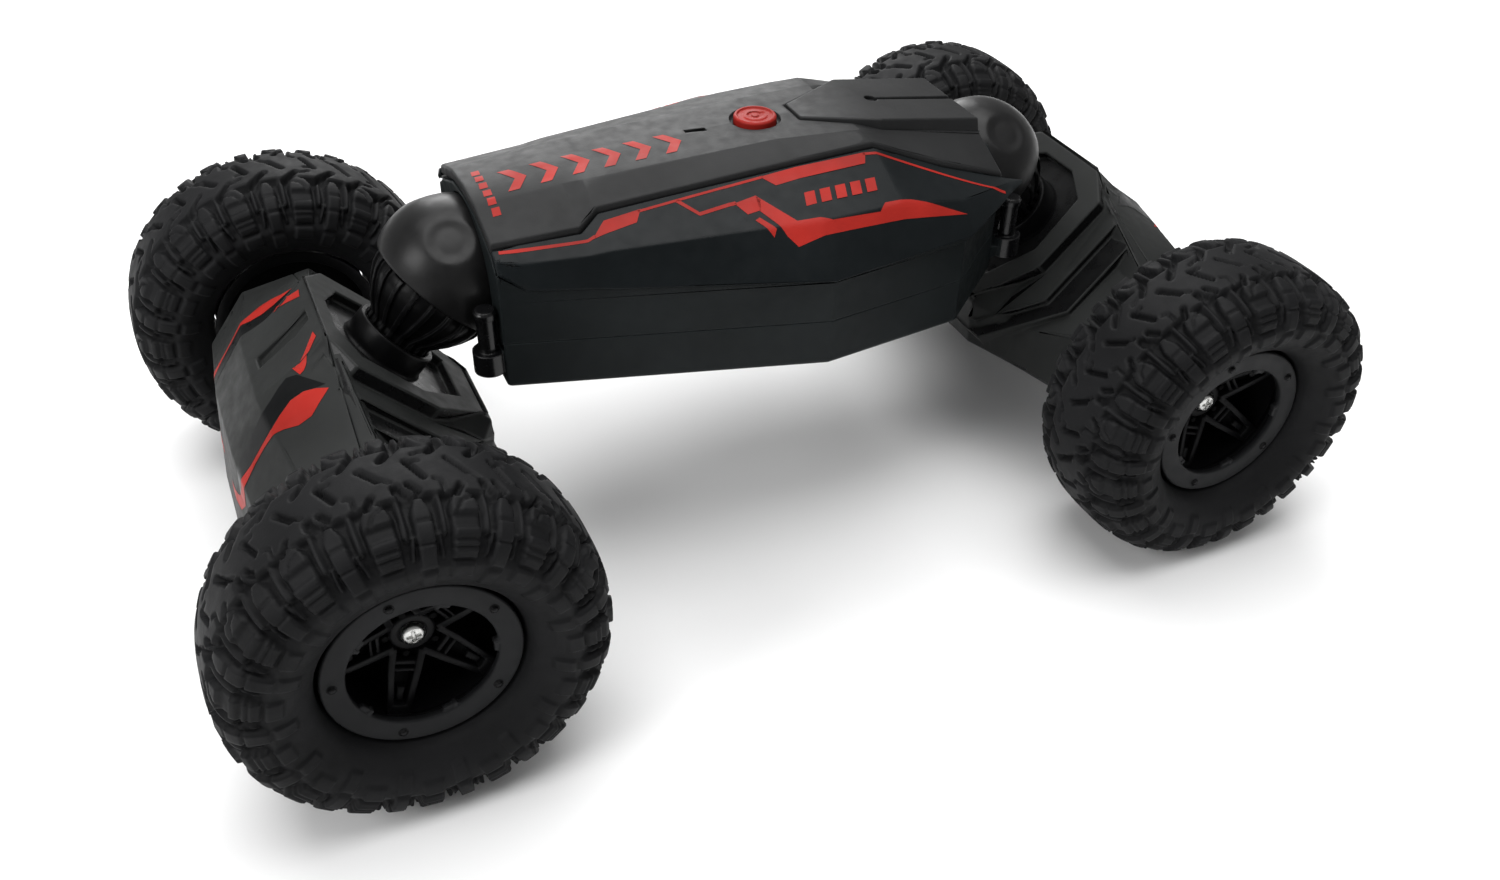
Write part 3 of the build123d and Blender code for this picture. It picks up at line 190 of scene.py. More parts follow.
# Finishes that aren't slots of the record: paint, single faces, and the necks and collars; some of them
# are painted shade.
RED_PAINT = finish("red_paint", (0.30, 0.016, 0.011), 0.46, grain=0.25, depth=0.01,
                   mottle=0.22, wear_and_glint=0.1)
# Painted shade: a black darker than the rim, for the rim's web and the spokes' deepest parts, where shade
# falls deep in the wheel.
RIM_RECESS_SHADE = finish("rim_recess_shade", (0.0012, 0.0012, 0.0013), 0.75, specular=0.08, wear_and_glint=0.1)
SWOOSH_BLACK = finish("swoosh_black", (0.0040, 0.0043, 0.0046), 0.34, depth=0.01)
POST_BLACK = finish("post_black", (0.0030, 0.0030, 0.0034), 0.24, wear_and_glint=0.3, specular=0.35)
# Painted shade: a black copy of the housing's finish for the turret's walls and sunk floor, which lie in
# shade; its light edges are wear and painted highlight.
TURRET_SHADE_AND_GLINT = finish("turret_shade_and_glint", (0.0045, 0.0046, 0.0048), 0.30, wear_and_glint=0.7, specular=0.2,
                      worn_and_glint=(0.035, 0.035, 0.036))
# Painted shade: the necks and collars darker than their mouldings, as they lie in shade between dome and
# housing; their light edges are wear and painted highlight.
NECK_SHADE_AND_GLINT = finish("neck_shade_and_glint", (0.0022, 0.0022, 0.0024), 0.36, wear_and_glint=0.6, worn_and_glint=(0.03, 0.03, 0.031))

# The finish of each CAD node, by how its name begins.
NODE_FINISH = [
    ("chassis_tub", "chassis_slate"), ("battery_door", "chassis_slate"),
    ("battery_pack", "battery_wrap"), ("control_board", "circuit_board"),
    ("spine_cover", "cover_charcoal"), ("side_panel", "panel_satin"),
    ("hood_panel", "cover_charcoal"), ("dome_cap", "dome_black"),
    ("twist_motor", "motor_steel"), ("indicator_lens", "lens_dark"),
    ("body_screws", "zinc_screw"), ("power_button", "button_red"),
    ("gearbox_shell", "housing_black"), ("nose_cover", "housing_black"),
    ("neck", "dome_black"), ("collar_ring", "housing_black"), ("twist_shaft", "motor_steel"),
    ("housing_screws", "zinc_screw"), ("drive_motor", "motor_steel"),
    ("motor_pinion", "gear_brass"), ("output_axle", "gear_nylon"), ("tyre", "tyre_rubber"),
    ("rim", "rim_black"), ("beadlock_ring", "ring_grey"), ("beadlock_bolts", "bolt_black"),
    ("hub_screw", "zinc_screw"),
]


def slot_of(node):
    """The record's material slot of a CAD node."""
    return next(slot for start, slot in NODE_FINISH if node.startswith(start))


def paint(obj, *materials):
    """Gives an object these materials in its slots."""
    if obj.data.materials:
        obj.data.materials.clear()
    for material in materials:
        obj.data.materials.append(material)


# ---------------------------------------------------------------- mesh helpers


def add_piece(name, mesh, body, materials, place=None):
    """Links a mesh as a piece of the object that rides on a body."""
    obj = bpy.data.objects.new(name, mesh)
    bpy.context.scene.collection.objects.link(obj)
    if place is not None:
        obj.matrix_world = place
    if not mesh.materials:
        paint(obj, *materials)
    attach(obj, body)
    return obj


def mesh_of(bm, name, sharp=35.0):
    """Turns a bmesh into a mesh with smooth faces and sharp edges above an angle."""
    mesh = bpy.data.meshes.new(name)
    bmesh.ops.recalc_face_normals(bm, faces=bm.faces)
    bm.to_mesh(mesh)
    bm.free()
    for face in mesh.polygons:
        face.use_smooth = True
    mesh.set_sharp_from_angle(angle=radians(sharp))
    return mesh


def in_band(edge, band):
    """Whether an edge lies between two heights, in millimetres."""
    return all(band[0] * MM < v.co.z < band[1] * MM for v in edge.verts)


def round_edges(bm, width, angle, shortest, segments=2, spared=(0.0, 0.0)):
    """Bevels every edge sharper than an angle and longer than a length, but for a spared band."""
    edges = [
        e for e in bm.edges
        if len(e.link_faces) == 2
        and e.calc_face_angle(0.0) > radians(angle)
        and e.calc_length() > shortest * MM
        and not in_band(e, spared)
    ]
    bmesh.ops.bevel(
        bm, geom=edges, offset=width * MM, offset_type="OFFSET", segments=segments,
        profile=0.5, affect="EDGES", clamp_overlap=False,
    )


def cad_copy(node):
    """A CAD node's shape as a clean bmesh, its flat faces merged."""
    bm = bmesh.new()
    bm.from_mesh(NODES[node].data)
    bmesh.ops.remove_doubles(bm, verts=bm.verts, dist=0.004 * MM)
    bmesh.ops.dissolve_limit(
        bm, angle_limit=radians(0.8), use_dissolve_boundaries=False, verts=bm.verts, edges=bm.edges
    )
    return bm


def mirror_copy(node):
    """A CAD node's shape on the car's other side, as a bmesh."""
    bm = cad_copy(node)
    for vertex in bm.verts:
        vertex.co.y = -vertex.co.y
    bmesh.ops.reverse_faces(bm, faces=bm.faces)
    return bm


def softened(node, body, width, angle=18.0, shortest=1.2, materials=None, spared=(0.0, 0.0),
             second=None, shape=None):
    """A moulded part: the CAD node's shape, or a given bmesh, with its edges rounded.
    Faces that pass the test `second` get the second material."""
    bm = shape or cad_copy(node)
    if second:
        bm.normal_update()
        for face in bm.faces:
            face.material_index = 1 if second(face) else 0
    round_edges(bm, width, angle, shortest, spared=spared)
    mesh = mesh_of(bm, node + "_moulded", 30.0)
    slot = slot_of(node)
    obj = add_piece(node + "_moulded", mesh, body, materials or [FINISHES[slot]])
    smooth = obj.modifiers.new("even_shading", "WEIGHTED_NORMAL")
    smooth.keep_sharp = True
    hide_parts(node)
    return obj


def prism(bm, outline, low, high, material=0):
    """Extrudes a closed (x, y) outline between two heights, or two functions of (x, y)."""
    def at(level, x, y):
        return level(x, y) if callable(level) else level
    bottom = [bm.verts.new((x * MM, y * MM, at(low, x, y) * MM)) for x, y in outline]
    top = [bm.verts.new((x * MM, y * MM, at(high, x, y) * MM)) for x, y in outline]
    faces = [bm.faces.new(reversed(bottom)), bm.faces.new(top)]
    count = len(outline)
    for i in range(count):
        j = (i + 1) % count
        faces.append(bm.faces.new((bottom[i], bottom[j], top[j], top[i])))
    for face in faces:
        face.material_index = material
    return faces


def turned(bm, profile, segments, material=0, closed=True):
    """Revolves (radius, height) points about Z."""
    rings = []
    for radius, height in profile:
        ring = []
        for i in range(segments):
            angle = 2 * pi * i / segments
            point = (radius * cos(angle) * MM, radius * sin(angle) * MM, height * MM)
            ring.append(bm.verts.new(point))
        rings.append(ring)
    pairs = list(zip(rings, rings[1:]))
    if closed:
        pairs.append((rings[-1], rings[0]))
    for first, second in pairs:
        for i in range(segments):
            j = (i + 1) % segments
            face = bm.faces.new((first[i], first[j], second[j], second[i]))
            face.material_index = material
    return rings


# ---------------------------------------------------------------- tyre

TYRE_RADIUS = 41.0
TREAD_UNITS = 15
TREAD_PERIOD = 2 * pi * TYRE_RADIUS / TREAD_UNITS
COLUMNS_PER_UNIT = 44
# Degrees from +X, in the wheel's plane, to the middle of a wide lug.
TREAD_PHASE = 12.2
TREAD_DEPTH = 2.5
# The tread reaches this far from the crown's middle, along the section, in rows this far apart.
TREAD_REACH = 30.0
ROW_STEP = 0.46
# The far shoulder's lugs lie this far round from the near one's.
FAR_SHIFT = 3.4
CROWN_HALF_WIDTH = 7.6

# The tyre's top surface from the crown's middle to the bead: distance from the middle plane,
# and radius.
TYRE_SECTION = [
    (0, 41.0), (4, 40.95), (8, 40.6), (11.6, 39.8), (14.8, 38.2), (17.0, 35.7), (18.1, 32.6),
    (18.2, 29.4), (17.3, 26.6), (15.6, 24.2), (13.7, 22.5), (12.0, 21.6), (10.0, 21.1),
    (8.6, 20.4),
]


def outline_distance(u, v, points):
    """Distance from each (u, v) to a closed outline, negative inside."""
    nearest = np.full(u.shape, 1e9)
    inside = np.zeros(u.shape, bool)
    for (x0, y0), (x1, y1) in zip(points, points[1:] + points[:1]):
        dx, dy = x1 - x0, y1 - y0
        share = np.clip(((u - x0) * dx + (v - y0) * dy) / (dx * dx + dy * dy), 0, 1)
        nearest = np.minimum(nearest, np.hypot(u - x0 - share * dx, v - y0 - share * dy))
        crossing = (y0 > v) != (y1 > v)
        at = x0 + (v - y0) * dx / (dy if dy else 1.0)
        inside ^= crossing & (u < at)
    return np.where(inside, -nearest, nearest)


def stroke_distance(u, v, points, width):
    """Distance from each (u, v) to the edge of a stroke through points, negative inside."""
    nearest = np.full(u.shape, 1e9)
    for (x0, y0), (x1, y1) in zip(points, points[1:]):
        dx, dy = x1 - x0, y1 - y0
        share = np.clip(((u - x0) * dx + (v - y0) * dy) / (dx * dx + dy * dy), 0, 1)
        nearest = np.minimum(nearest, np.hypot(u - x0 - share * dx, v - y0 - share * dy))
    return nearest - width / 2


def share_inside(distance, soft):
    """1 well inside a shape, 0 outside, with a soft wall between."""
    t = np.clip(0.5 - distance / soft, 0, 1)
    return t * t * (3 - 2 * t)


def raised(height, distance, top, soft=0.7):
    """Lifts the surface to a top level inside a shape."""
    lifted = height + (top - height) * share_inside(distance, soft)
    return np.maximum(height, lifted)


def carved(height, distance, depth, soft=0.45):
    """Cuts into the surface inside a shape."""
    return height - depth * share_inside(distance, soft)


def wrapped(u):
    """u brought to within half a tread unit of zero."""
    return (u + TREAD_PERIOD / 2) % TREAD_PERIOD - TREAD_PERIOD / 2


def shoulder(height, u, v):
    """Lugs down one shoulder: a wide stepped one, a narrow one, and thin ribs in the grooves.
    u is measured from the wide lug's middle, v from the crown's middle outward."""
    wide = wrapped(u)
    head = [(-2.9, 22.2), (2.9, 22.2), (2.9, 10.6), (1.7, 8.2), (-0.4, 7.2), (-2.2, 8.4), (-3.0, 11.0)]
    steps = np.interp(
        v,
        [12.4, 12.9, 15.5, 15.9, 17.7, 17.9, 18.5, 18.7, 19.3, 19.5, 19.9, 20.1, 20.7, 20.9],
        [0.0, -1.1, -1.1, -0.15, -0.15, -0.9, -0.9, -0.25, -0.25, -0.8, -0.8, -0.2, -0.2, -0.45],
    )
    height = raised(height, outline_distance(wide, v, head), steps)
    slit = [(-2.3, 9.0), (0.2, 10.0), (1.4, 12.2)]
    height = carved(height, stroke_distance(wide, v, slit, 0.35), 0.8)
    narrow = wrapped(u - TREAD_PERIOD / 2)
    tongue = [(-1.9, 23.6), (1.9, 23.6), (1.9, 11.2), (0.9, 8.4), (-0.9, 8.4), (-1.9, 11.2)]
    height = raised(height, outline_distance(narrow, v, tongue), -0.1)
    for at in (13.6, 18.2):
        height = carved(height, stroke_distance(narrow, v, [(-2.2, at), (2.2, at)], 0.4), 0.8)
    for middle_u in (-TREAD_PERIOD / 4 - 0.35, TREAD_PERIOD / 4 + 0.35):
        rib = wrapped(u - middle_u)
        height = raised(height, stroke_distance(rib, v, [(0, 7.0), (0, 16.5)], 1.1), -0.7, 0.5)
        lean = 0.5 if middle_u > 0 else -0.5
        height = raised(
            height, stroke_distance(rib, v, [(lean * 2.6, 16.5), (lean * 1.0, 21.5)], 0.8), -0.9, 0.5
        )
    return height


def side_pads(height, u, v):
    """Low pads on the side wall, longer ones below the narrow lugs."""
    wide = wrapped(u)
    pad = [(-3.1, 26.6), (3.0, 26.8), (3.0, 23.2), (-2.6, 23.0)]
    height = raised(height, outline_distance(wide, v, pad), -0.1, 0.5)
    narrow = wrapped(u - TREAD_PERIOD / 2)
    pad = [(-2.1, 29.4), (2.2, 29.6), (1.9, 24.8), (-2.1, 24.6)]
    return raised(height, outline_distance(narrow, v, pad), -0.1, 0.5)


# Cuts in the crown within one tread unit: points of a stroke, its width, its depth.
CROWN_CUTS = [
    ([(-6.9, 7.4), (-5.6, 6.2), (-5.4, 4.9)], 1.9, 1.9),
    ([(0.9, 8.2), (-0.5, 5.9)], 1.2, 1.7),
    ([(2.9, 7.2), (2.8, 4.5), (4.2, 3.7)], 0.55, 1.0),
    ([(-2.8, 1.8), (0.1, -2.6)], 1.2, 1.8),
    ([(-4.8, 3.1), (-3.1, 1.6)], 0.6, 1.0),
    ([(6.0, 3.0), (8.3, -2.4)], 1.1, 1.8),
    ([(8.3, -2.0), (5.9, -2.2)], 0.7, 1.2),
    ([(9.3, 4.6), (8.0, 6.6)], 1.3, 1.7),
    ([(12.7, -4.0), (7.1, -9.4)], 1.5, 2.0),
    ([(3.3, -4.8), (-0.2, -8.6)], 1.3, 1.9),
    ([(4.2, -5.2), (6.6, -4.4)], 0.6, 1.1),
]


def tread_height(u, v):
    """Height of the tread over the tyre's top surface, zero or less, with u along the tread
    and v across it."""
    across = np.abs(v)
    height = np.interp(
        across, [0, 7, 9, 20.5, 23.8, 31, 34], [-2.1, -2.1, -2.4, -2.3, -0.75, -0.55, -0.2]
    )
    near = shoulder(height, u, v)
    far = shoulder(height, u - FAR_SHIFT, -v)
    height = np.where(v > 0, near, far)
    height = np.where(v > 0, side_pads(height, u, v), side_pads(height, u - FAR_SHIFT, -v))
    height = height * (1 - share_inside(across - CROWN_HALF_WIDTH, 0.8))
    for points, width, depth in CROWN_CUTS:
        for shift in (-TREAD_PERIOD, 0.0, TREAD_PERIOD):
            moved = [(x + shift, y) for x, y in points]
            height = carved(height, stroke_distance(u, v, moved, width), depth)
    return np.maximum(height, -TREAD_DEPTH)


def smooth_section():
    """The tyre's section as a smooth curve through its points (Catmull-Rom): arc length from
    the crown, distance from the middle plane, radius."""
    points = [(-w, r) for w, r in reversed(TYRE_SECTION[1:])] + TYRE_SECTION
    points = np.array(points, float)
    fine = []
    for i in range(1, len(points) - 2):
        p0, p1, p2, p3 = points[i - 1], points[i], points[i + 1], points[i + 2]
        for t in np.linspace(0, 1, 12, endpoint=False):
            fine.append(
                0.5 * (2 * p1 + (p2 - p0) * t + (2 * p0 - 5 * p1 + 4 * p2 - p3) * t * t
                       + (3 * p1 - p0 - 3 * p2 + p3) * t ** 3)
            )
    fine = np.array(fine)
    run = np.concatenate([[0], np.cumsum(np.hypot(*np.diff(fine, axis=0).T))])
    run -= np.interp(0.0, fine[:, 0], run)
    return run, fine[:, 0], fine[:, 1]


def tyre_mesh():
    """Balloon tyre with a mud tread, its axis along Y, outer side towards +Y."""
    run, width, radius = smooth_section()
    limit = run[-1]
    fine_rows = np.arange(-TREAD_REACH, TREAD_REACH + 0.01, ROW_STEP)
    start = TREAD_REACH + 0.6
    rows = np.concatenate([np.linspace(-limit, -start, 7), fine_rows, np.linspace(start, limit, 7)])
    columns = COLUMNS_PER_UNIT * TREAD_UNITS
    u_unit = np.arange(COLUMNS_PER_UNIT) * TREAD_PERIOD / COLUMNS_PER_UNIT - TREAD_PERIOD / 2
    uu, vv = np.meshgrid(u_unit, rows, indexing="ij")
    height = np.tile(tread_height(uu, vv), (TREAD_UNITS, 1))
    w = np.interp(rows, run, width)
    r = np.interp(rows, run, radius)
    along_w = np.gradient(w, rows)
    along_r = np.gradient(r, rows)
    length = np.hypot(along_w, along_r)
    out_w, out_r = -along_r / length, along_w / length
    angle = TREAD_PHASE - (np.arange(columns) / columns * 360.0 - 180.0 / TREAD_UNITS)
    angle = np.radians(angle)[:, None]
    rr = r[None, :] + height * out_r[None, :]
    ww = w[None, :] + height * out_w[None, :]
    points = np.stack([rr * np.cos(angle), ww, rr * np.sin(angle)], axis=-1)
    vertices = (points * MM).reshape(-1, 3)
    count = len(rows)
    faces = []
    for i in range(columns):
        a, b = i * count, ((i + 1) % columns) * count
        faces += [(a + j, a + j + 1, b + j + 1, b + j) for j in range(count - 1)]
        faces.append((a + count - 1, a, b, b + count - 1))
    mesh = bpy.data.meshes.new("tyre_tread")
    mesh.from_pydata(vertices.tolist(), [], faces)
    for face in mesh.polygons:
        face.use_smooth = True
    return mesh


# ---------------------------------------------------------------- rim, ring, bolts, hub screw

# Degrees from +X to the first spoke.
WHEEL_CLOCK = 69.0
SPOKES = 5
BETWEEN_SPOKES = 360 / SPOKES
HUB_FACE = 1.4
# A spoke's top: its level at the hub, the radius where it starts to rise, and the run and
# height of the rise.
SPOKE_FOOT = 1.9
SPOKE_START = 5.5
SPOKE_RUN = 12.0
SPOKE_RISE = 4.8
BOLT_CIRCLE = 18.2


def to_wheel(bm):
    """Turns a shape built about Z so that Z points outward along +Y."""
    outward = Matrix.Rotation(radians(-90), 3, "X")
    bmesh.ops.rotate(bm, verts=bm.verts, cent=(0, 0, 0), matrix=outward)


def turned_by(bm, start, degrees):
    """Turns everything made since `start` vertices about Z."""
    fresh = list(bm.verts)[start:]
    round_axis = Matrix.Rotation(radians(degrees), 3, "Z")
    bmesh.ops.rotate(bm, verts=fresh, cent=(0, 0, 0), matrix=round_axis)


def spoke_level(x, y):
    """The spokes' top, rising from the hub towards the ring."""
    share = min(1.0, max(0.0, (hypot(x, y) - SPOKE_START) / SPOKE_RUN))
    return SPOKE_FOOT + SPOKE_RISE * share


def lower(by):
    """The spokes' top, lowered."""
    return lambda x, y: spoke_level(x, y) - by


def add_spoke(bm):
    """One spoke along +X: a long frame of two rails and a tip, cross bars, a stud and a block."""
    for side in (1, -1):
        rail = [(4.2, 3.9), (8.6, 3.6), (17.8, 2.4), (17.8, 1.0), (8.8, 2.1), (4.2, 2.3)]
        outline = [(x, side * y) for x, y in rail]
        prism(bm, outline if side > 0 else outline[::-1], lower(2.2), spoke_level)
    prism(bm, [(15.9, -1.6), (17.9, -2.4), (17.9, 2.4), (15.9, 1.6)], lower(2.2), spoke_level)
    # The floor under the frame takes the second material, painted black as shade.
    prism(bm, [(7.2, -2.4), (17.0, -1.6), (17.0, 1.6), (7.2, 2.4)], lower(3.4), lower(2.4), 1)
    for x, wide in ((6.9, 0.8), (8.5, 0.6)):
        prism(bm, [(x, -2.4), (x + wide, -2.4), (x + wide, 2.4), (x, 2.4)], lower(2.2), lower(0.35))
    prism(bm, [(12.6, -0.8), (15.3, -0.7), (15.3, 0.7), (12.6, 0.8)], lower(2.6), lower(0.7))
    # The stud takes the second material too, painted black as shade.
    stud = [(5.6 + 0.75 * cos(a * pi / 5), 0.75 * sin(a * pi / 5)) for a in range(10)]
    prism(bm, stud, -1.0, 1.5, 1)


def rim_mesh():
    """Barrel with a deep web and five open spokes that rise from the hub to the ring; the web is painted
    black as shade.
    """
    bm = bmesh.new()
    turned(bm, [
        (18.4, -12.0), (21.2, -12.0), (21.2, -11.6), (20.2, -9.8), (20.2, 8.4), (19.6, 9.6),
        (16.8, 9.6), (16.8, 8.0), (18.4, 6.0),
    ], 96)
    # The web's two discs take the second material, painted black as shade deep in the wheel.
    turned(bm, [(18.8, -4.5), (5.0, -4.5)], 64, 1, closed=False)
    turned(bm, [(18.8, -6.0), (4.0, -6.0)], 64, 1, closed=False)
    boss = [(4.9, -6.0), (4.9, 0.9), (4.4, HUB_FACE), (3.1, HUB_FACE), (2.9, 1.0)]
    hub = turned(bm, boss, 48, closed=False)
    bm.faces.new(hub[-1])
    for i in range(SPOKES):
        start = len(bm.verts)
        add_spoke(bm)
        bm.verts.ensure_lookup_table()
        turned_by(bm, start, WHEEL_CLOCK + BETWEEN_SPOKES * i)
    round_edges(bm, 0.14, 40, 0.5)
    to_wheel(bm)
    return mesh_of(bm, "rim_spoked", 35)


def ring_mesh():
    """Flat ring with a rounded edge and small stepped tabs on its inner edge."""
    bm = bmesh.new()
    turned(bm, [
        (15.5, 9.7), (20.1, 9.7), (20.65, 10.7), (20.6, 11.15), (20.3, 11.4), (15.9, 11.4),
        (15.55, 11.25), (15.4, 10.9),
    ], 128)
    for i in range(SPOKES):
        start = len(bm.verts)
        prism(bm, [(14.5, -1.5), (15.8, -2.1), (15.8, 2.1), (14.5, 1.5)], 9.8, 10.9)
        prism(bm, [(14.3, 0.5), (15.6, 0.5), (15.6, 1.4), (14.3, 1.4)], 9.6, 11.1)
        turned_by(bm, start, WHEEL_CLOCK + BETWEEN_SPOKES * (i + 0.5))
    round_edges(bm, 0.12, 40, 0.6)
    to_wheel(bm)
    return mesh_of(bm, "beadlock", 35)


def bolts_mesh():
    """Five domed bolts, each in its own small counterbore."""
    bm = bmesh.new()
    profile = [(1.12, 11.42), (1.1, 11.5), (0.86, 11.5), (0.84, 11.75), (0.62, 12.0), (0.3, 12.1)]
    for i in range(SPOKES):
        start = len(bm.verts)
        head = turned(bm, profile, 20, closed=False)
        bm.faces.new(head[-1])
        fresh = list(bm.verts)[start:]
        bmesh.ops.translate(bm, verts=fresh, vec=(BOLT_CIRCLE * MM, 0, 0))
        turned_by(bm, start, WHEEL_CLOCK + BETWEEN_SPOKES * i)
    to_wheel(bm)
    return mesh_of(bm, "beadlock_bolt_heads", 40)


def hub_screw_mesh():
    """Pan-headed screw with a cross recess."""
    bm = bmesh.new()
    arm, half, out = 1.55, 0.36, 2.0
    crown, recess, brim = 2.75, 2.0, 2.6
    cross = [(arm, -half), (arm, half), (half, half), (half, arm), (-half, arm), (-half, half)]
    cross += [(-x, -y) for x, y in cross]
    top = [bm.verts.new((x * MM, y * MM, crown * MM)) for x, y in cross]
    floor = [bm.verts.new((x * 0.8 * MM, y * 0.8 * MM, recess * MM)) for x, y in cross]
    count = len(cross)
    for i in range(count):
        j = (i + 1) % count
        bm.faces.new((top[i], top[j], floor[j], floor[i]))
    bm.faces.new(floor)
    edge = []
    for x, y in cross:
        size = hypot(x, y)
        edge.append(bm.verts.new((x / size * out * MM, y / size * out * MM, brim * MM)))
    for i in range(count):
        j = (i + 1) % count
        bm.faces.new((edge[i], edge[j], top[j], top[i]))
    turned(bm, [(1.95, 2.62), (2.35, 2.35), (2.6, 1.9), (2.6, HUB_FACE)], 40, closed=False)
    to_wheel(bm)
    return mesh_of(bm, "hub_screw_head", 30)


def make_wheels():
    """Four equal wheels at the CAD wheels' places."""
    shapes = {
        "tyre": (tyre_mesh(), [FINISHES["tyre_rubber"]]),
        # The rim's second finish is painted shade for its sunk web and spoke floors.
        "rim": (rim_mesh(), [FINISHES["rim_black"], RIM_RECESS_SHADE]),
        "beadlock_ring": (ring_mesh(), [FINISHES["ring_grey"]]),
        "beadlock_bolts": (bolts_mesh(), [FINISHES["bolt_black"]]),
        "hub_screw": (hub_screw_mesh(), [FINISHES["zinc_screw"]]),
    }
    for end in ENDS:
        for hand in HANDS:
            centre = middle(f"tyre_{end}_{hand}")
            turn = 0 if hand == "left" else pi
            place = Matrix.Translation(centre) @ Matrix.Rotation(turn, 4, "Z")
            for kind, (mesh, materials) in shapes.items():
                node = f"{kind}_{end}_{hand}"
                name = f"{kind}_detail_{end}_{hand}"
                obj = add_piece(name, mesh, f"wheel_{end}_{hand}", materials, place)
                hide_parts(node)


# ---------------------------------------------------------------- domes


def twist_frame(end):
    """Frame of a twist joint: origin at the ball, Z up its axis, in metres."""
    joint = next(j for j in frame["joints"] if j["name"] == f"{end}_twist")
    axis = Vector(joint["axis"]).normalized()
    side = Vector((0, 1, 0))
    other = side.cross(axis).normalized()
    turn = Matrix((other, side, axis)).transposed().to_4x4()
    return Matrix.Translation(Vector(joint["pos_m"])) @ turn


DOME_RADIUS = 17.15
DOME_WALL = 1.5
# The dome's ball reaches this far below the joint's centre, and its lip rolls in from there.
DOME_SKIRT = 5.0
DOME_LIP = [(16.2, -5.25), (15.9, -5.2), (15.7, -4.9), (DOME_RADIUS - DOME_WALL, -2.0)]
DIMPLE_FLAT = 3.4
DIMPLE_RIM = 7.6
# A dimple's direction from the dome's centre: towards the car's end, to the side, and up.
DIMPLE_AIM = (0.07, 0.63, 0.77)


def dome_depth(direction, dimple):
    """How far the dome's surface is pushed in, a soft round dimple with a raised brow."""
    off = np.arccos(np.clip(direction @ dimple, -1, 1)) * DOME_RADIUS
    bowl = np.interp(off, [0, DIMPLE_FLAT, 4.4, 5.4, 6.4, DIMPLE_RIM], [1.0, 0.95, 0.62, 0.22, 0.04, 0.0])
    flat = DOME_RADIUS * (1 - np.cos(np.minimum(off, DIMPLE_FLAT) / DOME_RADIUS))
    return np.maximum(0.0, bowl - 0.4 * flat)


def dome_mesh(dimples):
    """Smooth dome about Z, open below, with soft dimples, and a rolled lower lip."""
    rows, columns = 72, 144
    limit = np.arccos(-DOME_SKIRT / DOME_RADIUS)
    bm = bmesh.new()
    grid = []
    for i in range(1, rows + 1):
        polar = limit * i / rows
        ring = []
        for j in range(columns):
            turn = 2 * pi * j / columns
            direction = np.array([sin(polar) * cos(turn), sin(polar) * sin(turn), cos(polar)])
            radius = DOME_RADIUS - max(dome_depth(direction, d) for d in dimples)
            ring.append(bm.verts.new(tuple(direction * radius * MM)))
        grid.append(ring)
    for radius, height in DOME_LIP:
        ring = []
        for j in range(columns):
            turn = 2 * pi * j / columns
            ring.append(bm.verts.new((radius * cos(turn) * MM, radius * sin(turn) * MM, height * MM)))
        grid.append(ring)
    pole = bm.verts.new((0, 0, DOME_RADIUS * MM))
    for j in range(columns):
        bm.faces.new((pole, grid[0][j], grid[0][(j + 1) % columns]))
    for first, second in zip(grid, grid[1:]):
        for j in range(columns):
            k = (j + 1) % columns
            bm.faces.new((first[j], second[j], second[k], first[k]))
    return mesh_of(bm, "dome_smooth", 60)


def make_domes():
    """A dome over each twist joint, dimpled on both sides."""
    for end in ENDS:
        place = twist_frame(end)
        outward = -1 if end == "rear" else 1
        along, across, upward = DIMPLE_AIM
        dimples = []
        for side in (-1, 1):
            world = Vector((outward * along, side * across, upward)).normalized()
            local = place.to_3x3().transposed() @ world
            dimples.append(np.array(local))
        node = f"dome_cap_{end}"
        obj = add_piece(f"dome_smooth_{end}", dome_mesh(dimples), "chassis",
                        [FINISHES["dome_black"]], place)
        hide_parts(node)


# ---------------------------------------------------------------- painted graphics

# Paint is dropped from this height above the ground, or from this far in front of an axle.
DROP_HEIGHT = 200.0
NOSE_DISTANCE = 80.0
# The nose's face leans back: its outward normal's share along the car, and its share up.
NOSE_LEAN = (0.8, 0.6)


def tree_of(*objects):
    """A search tree over objects' surfaces, in the shared frame."""
    vertices, faces = [], []
    for obj in objects:
        base = len(vertices)
        vertices += [obj.matrix_world @ v.co for v in obj.data.vertices]
        faces += [tuple(base + i for i in face.vertices) for face in obj.data.polygons]
    return BVHTree.FromPolygons(vertices, faces)


def painted(name, outlines, surface, plane, body, material, lift=0.07, cell=0.7):
    """Thin paint that follows a surface: outlines in a plane, dropped along the plane's -Z."""
    bm = bmesh.new()
    for outline in outlines:
        bm.faces.new([bm.verts.new((x * MM, y * MM, 0)) for x, y in outline])
    bmesh.ops.triangulate(bm, faces=bm.faces)
    low = [min(v.co[i] for v in bm.verts) for i in (0, 1)]
    high = [max(v.co[i] for v in bm.verts) for i in (0, 1)]
    for axis in (0, 1):
        at = low[axis] + cell * MM
        while at < high[axis]:
            point, normal = [0, 0, 0], [0, 0, 0]
            point[axis], normal[axis] = at, 1
            geometry = bm.verts[:] + bm.edges[:] + bm.faces[:]
            bmesh.ops.bisect_plane(bm, geom=geometry, plane_co=point, plane_no=normal)
            at += cell * MM
    down = (plane.to_3x3() @ Vector((0, 0, -1))).normalized()
    missed = []
    for vertex in bm.verts:
        start = plane @ Vector((vertex.co.x, vertex.co.y, 0.0))
        hit, normal, _, _ = surface.ray_cast(start, down)
        if hit is None:
            missed.append(vertex)
            continue
        if normal.dot(down) > 0:
            normal = -normal
        vertex.co = hit + normal * lift * MM
    bmesh.ops.delete(bm, geom=missed, context="VERTS")
    mesh = mesh_of(bm, name, 60)
    return add_piece(name, mesh, body, [material])


